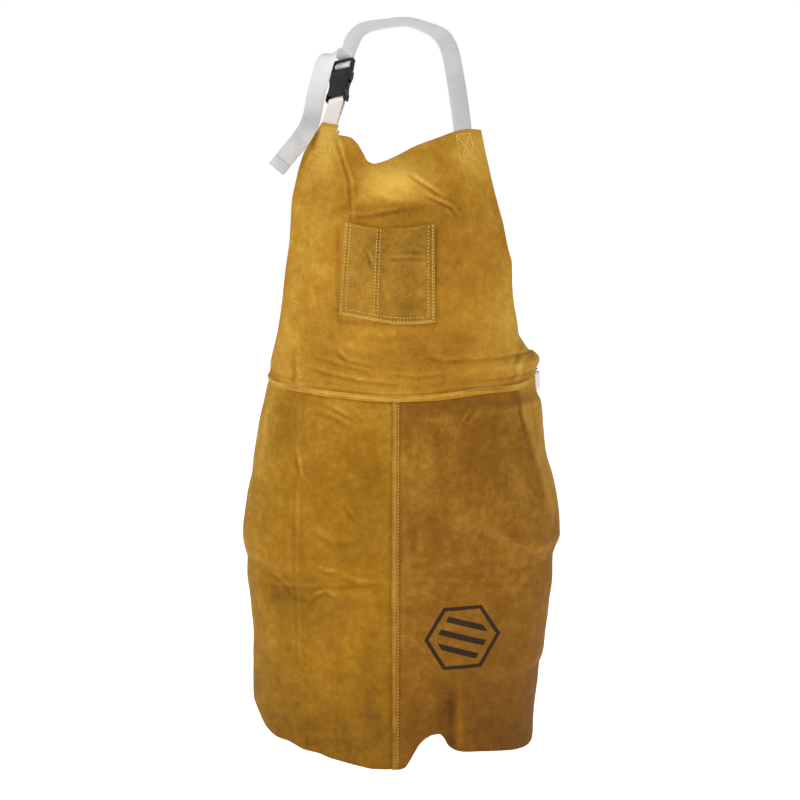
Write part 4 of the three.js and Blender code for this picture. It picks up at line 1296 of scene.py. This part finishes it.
def woven(name, light, shade, shade_span):
    """Plain-woven webbing: ribs across it crossed by warp ends along it, with painted shade greying it along
    one axis.

    The last argument is an axis, and the places on it where the painted shade begins and is full."""
    axis, shade_start, grey = shade_span
    shader = Shader(name)
    surface = shader.surface_axes()
    weft = shader.wave(surface[1], 0.0016)
    weave = shader.math("MULTIPLY", shader.wave(surface[0], 0.0011), weft)
    soil = shader.noise(shader.place, 26.0, 4.0)
    fuzz = shader.noise(shader.place, 900.0, 3.0)
    value = shader.plus(0.62, weave, 0.09)
    value = shader.swayed(shader.swayed(value, soil, 0.7), fuzz, 0.3)
    # Painted shade: greyer along the given axis, where the strap lies in shade
    painted_shade = shader.between(shader.axes(shader.place)[axis], shade_start, grey, 0.0, 0.45)
    colour = shader.ramp(shader.math("SUBTRACT", value, painted_shade), [(0.1, shade), (0.8, light)])
    bumps = shader.bump(weave, 0.00005, 0.5)
    bumps = shader.bump(shader.plus(weft, fuzz, 0.8), 0.00004, 0.4, bumps)
    return shader.finish(Base_Color=colour, Roughness=0.86, Normal=bumps, Sheen_Weight=0.06,
                         Specular_IOR_Level=0.2)


def moulded(name):
    """Black moulded plastic with a fine satin grain and a little rub on it."""
    shader = Shader(name)
    rub = shader.noise(shader.place, 90.0, 5.0, 0.65)
    grain = shader.noise(shader.place, 2600.0, 2.0)
    colour = shader.ramp(rub, [(0.35, (0.006, 0.0065, 0.008)), (0.75, (0.018, 0.019, 0.021))])
    return shader.finish(Base_Color=colour, Roughness=shader.plus(0.22, rub, 0.2),
                         Normal=shader.bump(grain, 0.00006, 0.5))


def sewing_thread(name, shade, light):
    """Twisted sewing thread."""
    shader = Shader(name)
    surface = shader.surface_axes()
    twist = shader.wave(shader.math("ADD", shader.math("MULTIPLY", surface[0], 2.0), surface[1]), 0.0009)
    dye = shader.noise(shader.place, 60.0, 3.0)
    value = shader.math("ADD", shader.math("MULTIPLY", twist, 0.12), dye)
    return shader.finish(Base_Color=shader.ramp(value, [(0.3, shade), (0.75, light)]), Roughness=0.7,
                         Normal=shader.bump(twist, 0.00012, 0.7), Specular_IOR_Level=0.15)


BIB_SUEDE = suede("bib_suede", (0.20, 0.075, 0.006), (0.46, 0.225, 0.020), (0.80, 0.50, 0.085), 1)
POCKET_SUEDE = suede("pocket_suede", (0.18, 0.080, 0.009), (0.455, 0.234, 0.028), (0.80, 0.53, 0.11), 4)
LEFT_SUEDE = suede("left_skirt_suede", (0.16, 0.062, 0.005), (0.36, 0.170, 0.010), (0.68, 0.40, 0.05), 2)
RIGHT_SUEDE = suede("right_skirt_suede", (0.11, 0.040, 0.004), (0.265, 0.108, 0.010), (0.56, 0.30, 0.04), 3,
                    stamp=generic_stamp)
# Painted shade on the right-hand parts of the neck strap and the belt, which face away from the light
WEB_CLOTH = woven("woven_webbing", (0.91, 0.91, 0.91), (0.62, 0.62, 0.62), (0, 0.02, 0.10))
# Painted shade down the lower end of the neck strap's tail, which hangs in shade
SHADED_WEB_CLOTH = woven("woven_webbing_shaded", (0.93, 0.93, 0.935), (0.52, 0.52, 0.525),
                          (2, -0.08, -0.19))
WARM_WEB_CLOTH = woven("woven_webbing_warm", (0.99, 0.93, 0.91), (0.84, 0.77, 0.75), (2, -1.0, -2.0))
PLASTIC = moulded("moulded_plastic")
THREAD = sewing_thread("sewing_thread", (0.78, 0.52, 0.10), (0.98, 0.74, 0.22))
PALE_THREAD = sewing_thread("sewing_thread_pale", (0.55, 0.54, 0.53), (0.85, 0.85, 0.85))


def dress(pieces, material):
    for piece in pieces:
        piece.data.materials.clear()
        piece.data.materials.append(material)


dress([bib], BIB_SUEDE)
dress([pocket], POCKET_SUEDE)
dress([skirt_left], LEFT_SUEDE)
dress([skirt_right], RIGHT_SUEDE)
dress(thread_pieces, THREAD)
dress([neck_hem, belt_hem], PALE_THREAD)
dress(web_pieces, WEB_CLOTH)
dress([neck_tail, neck_fold], SHADED_WEB_CLOTH)
dress([neck_loop, belt_loop], WARM_WEB_CLOTH)
dress(buckle_pieces, PLASTIC)
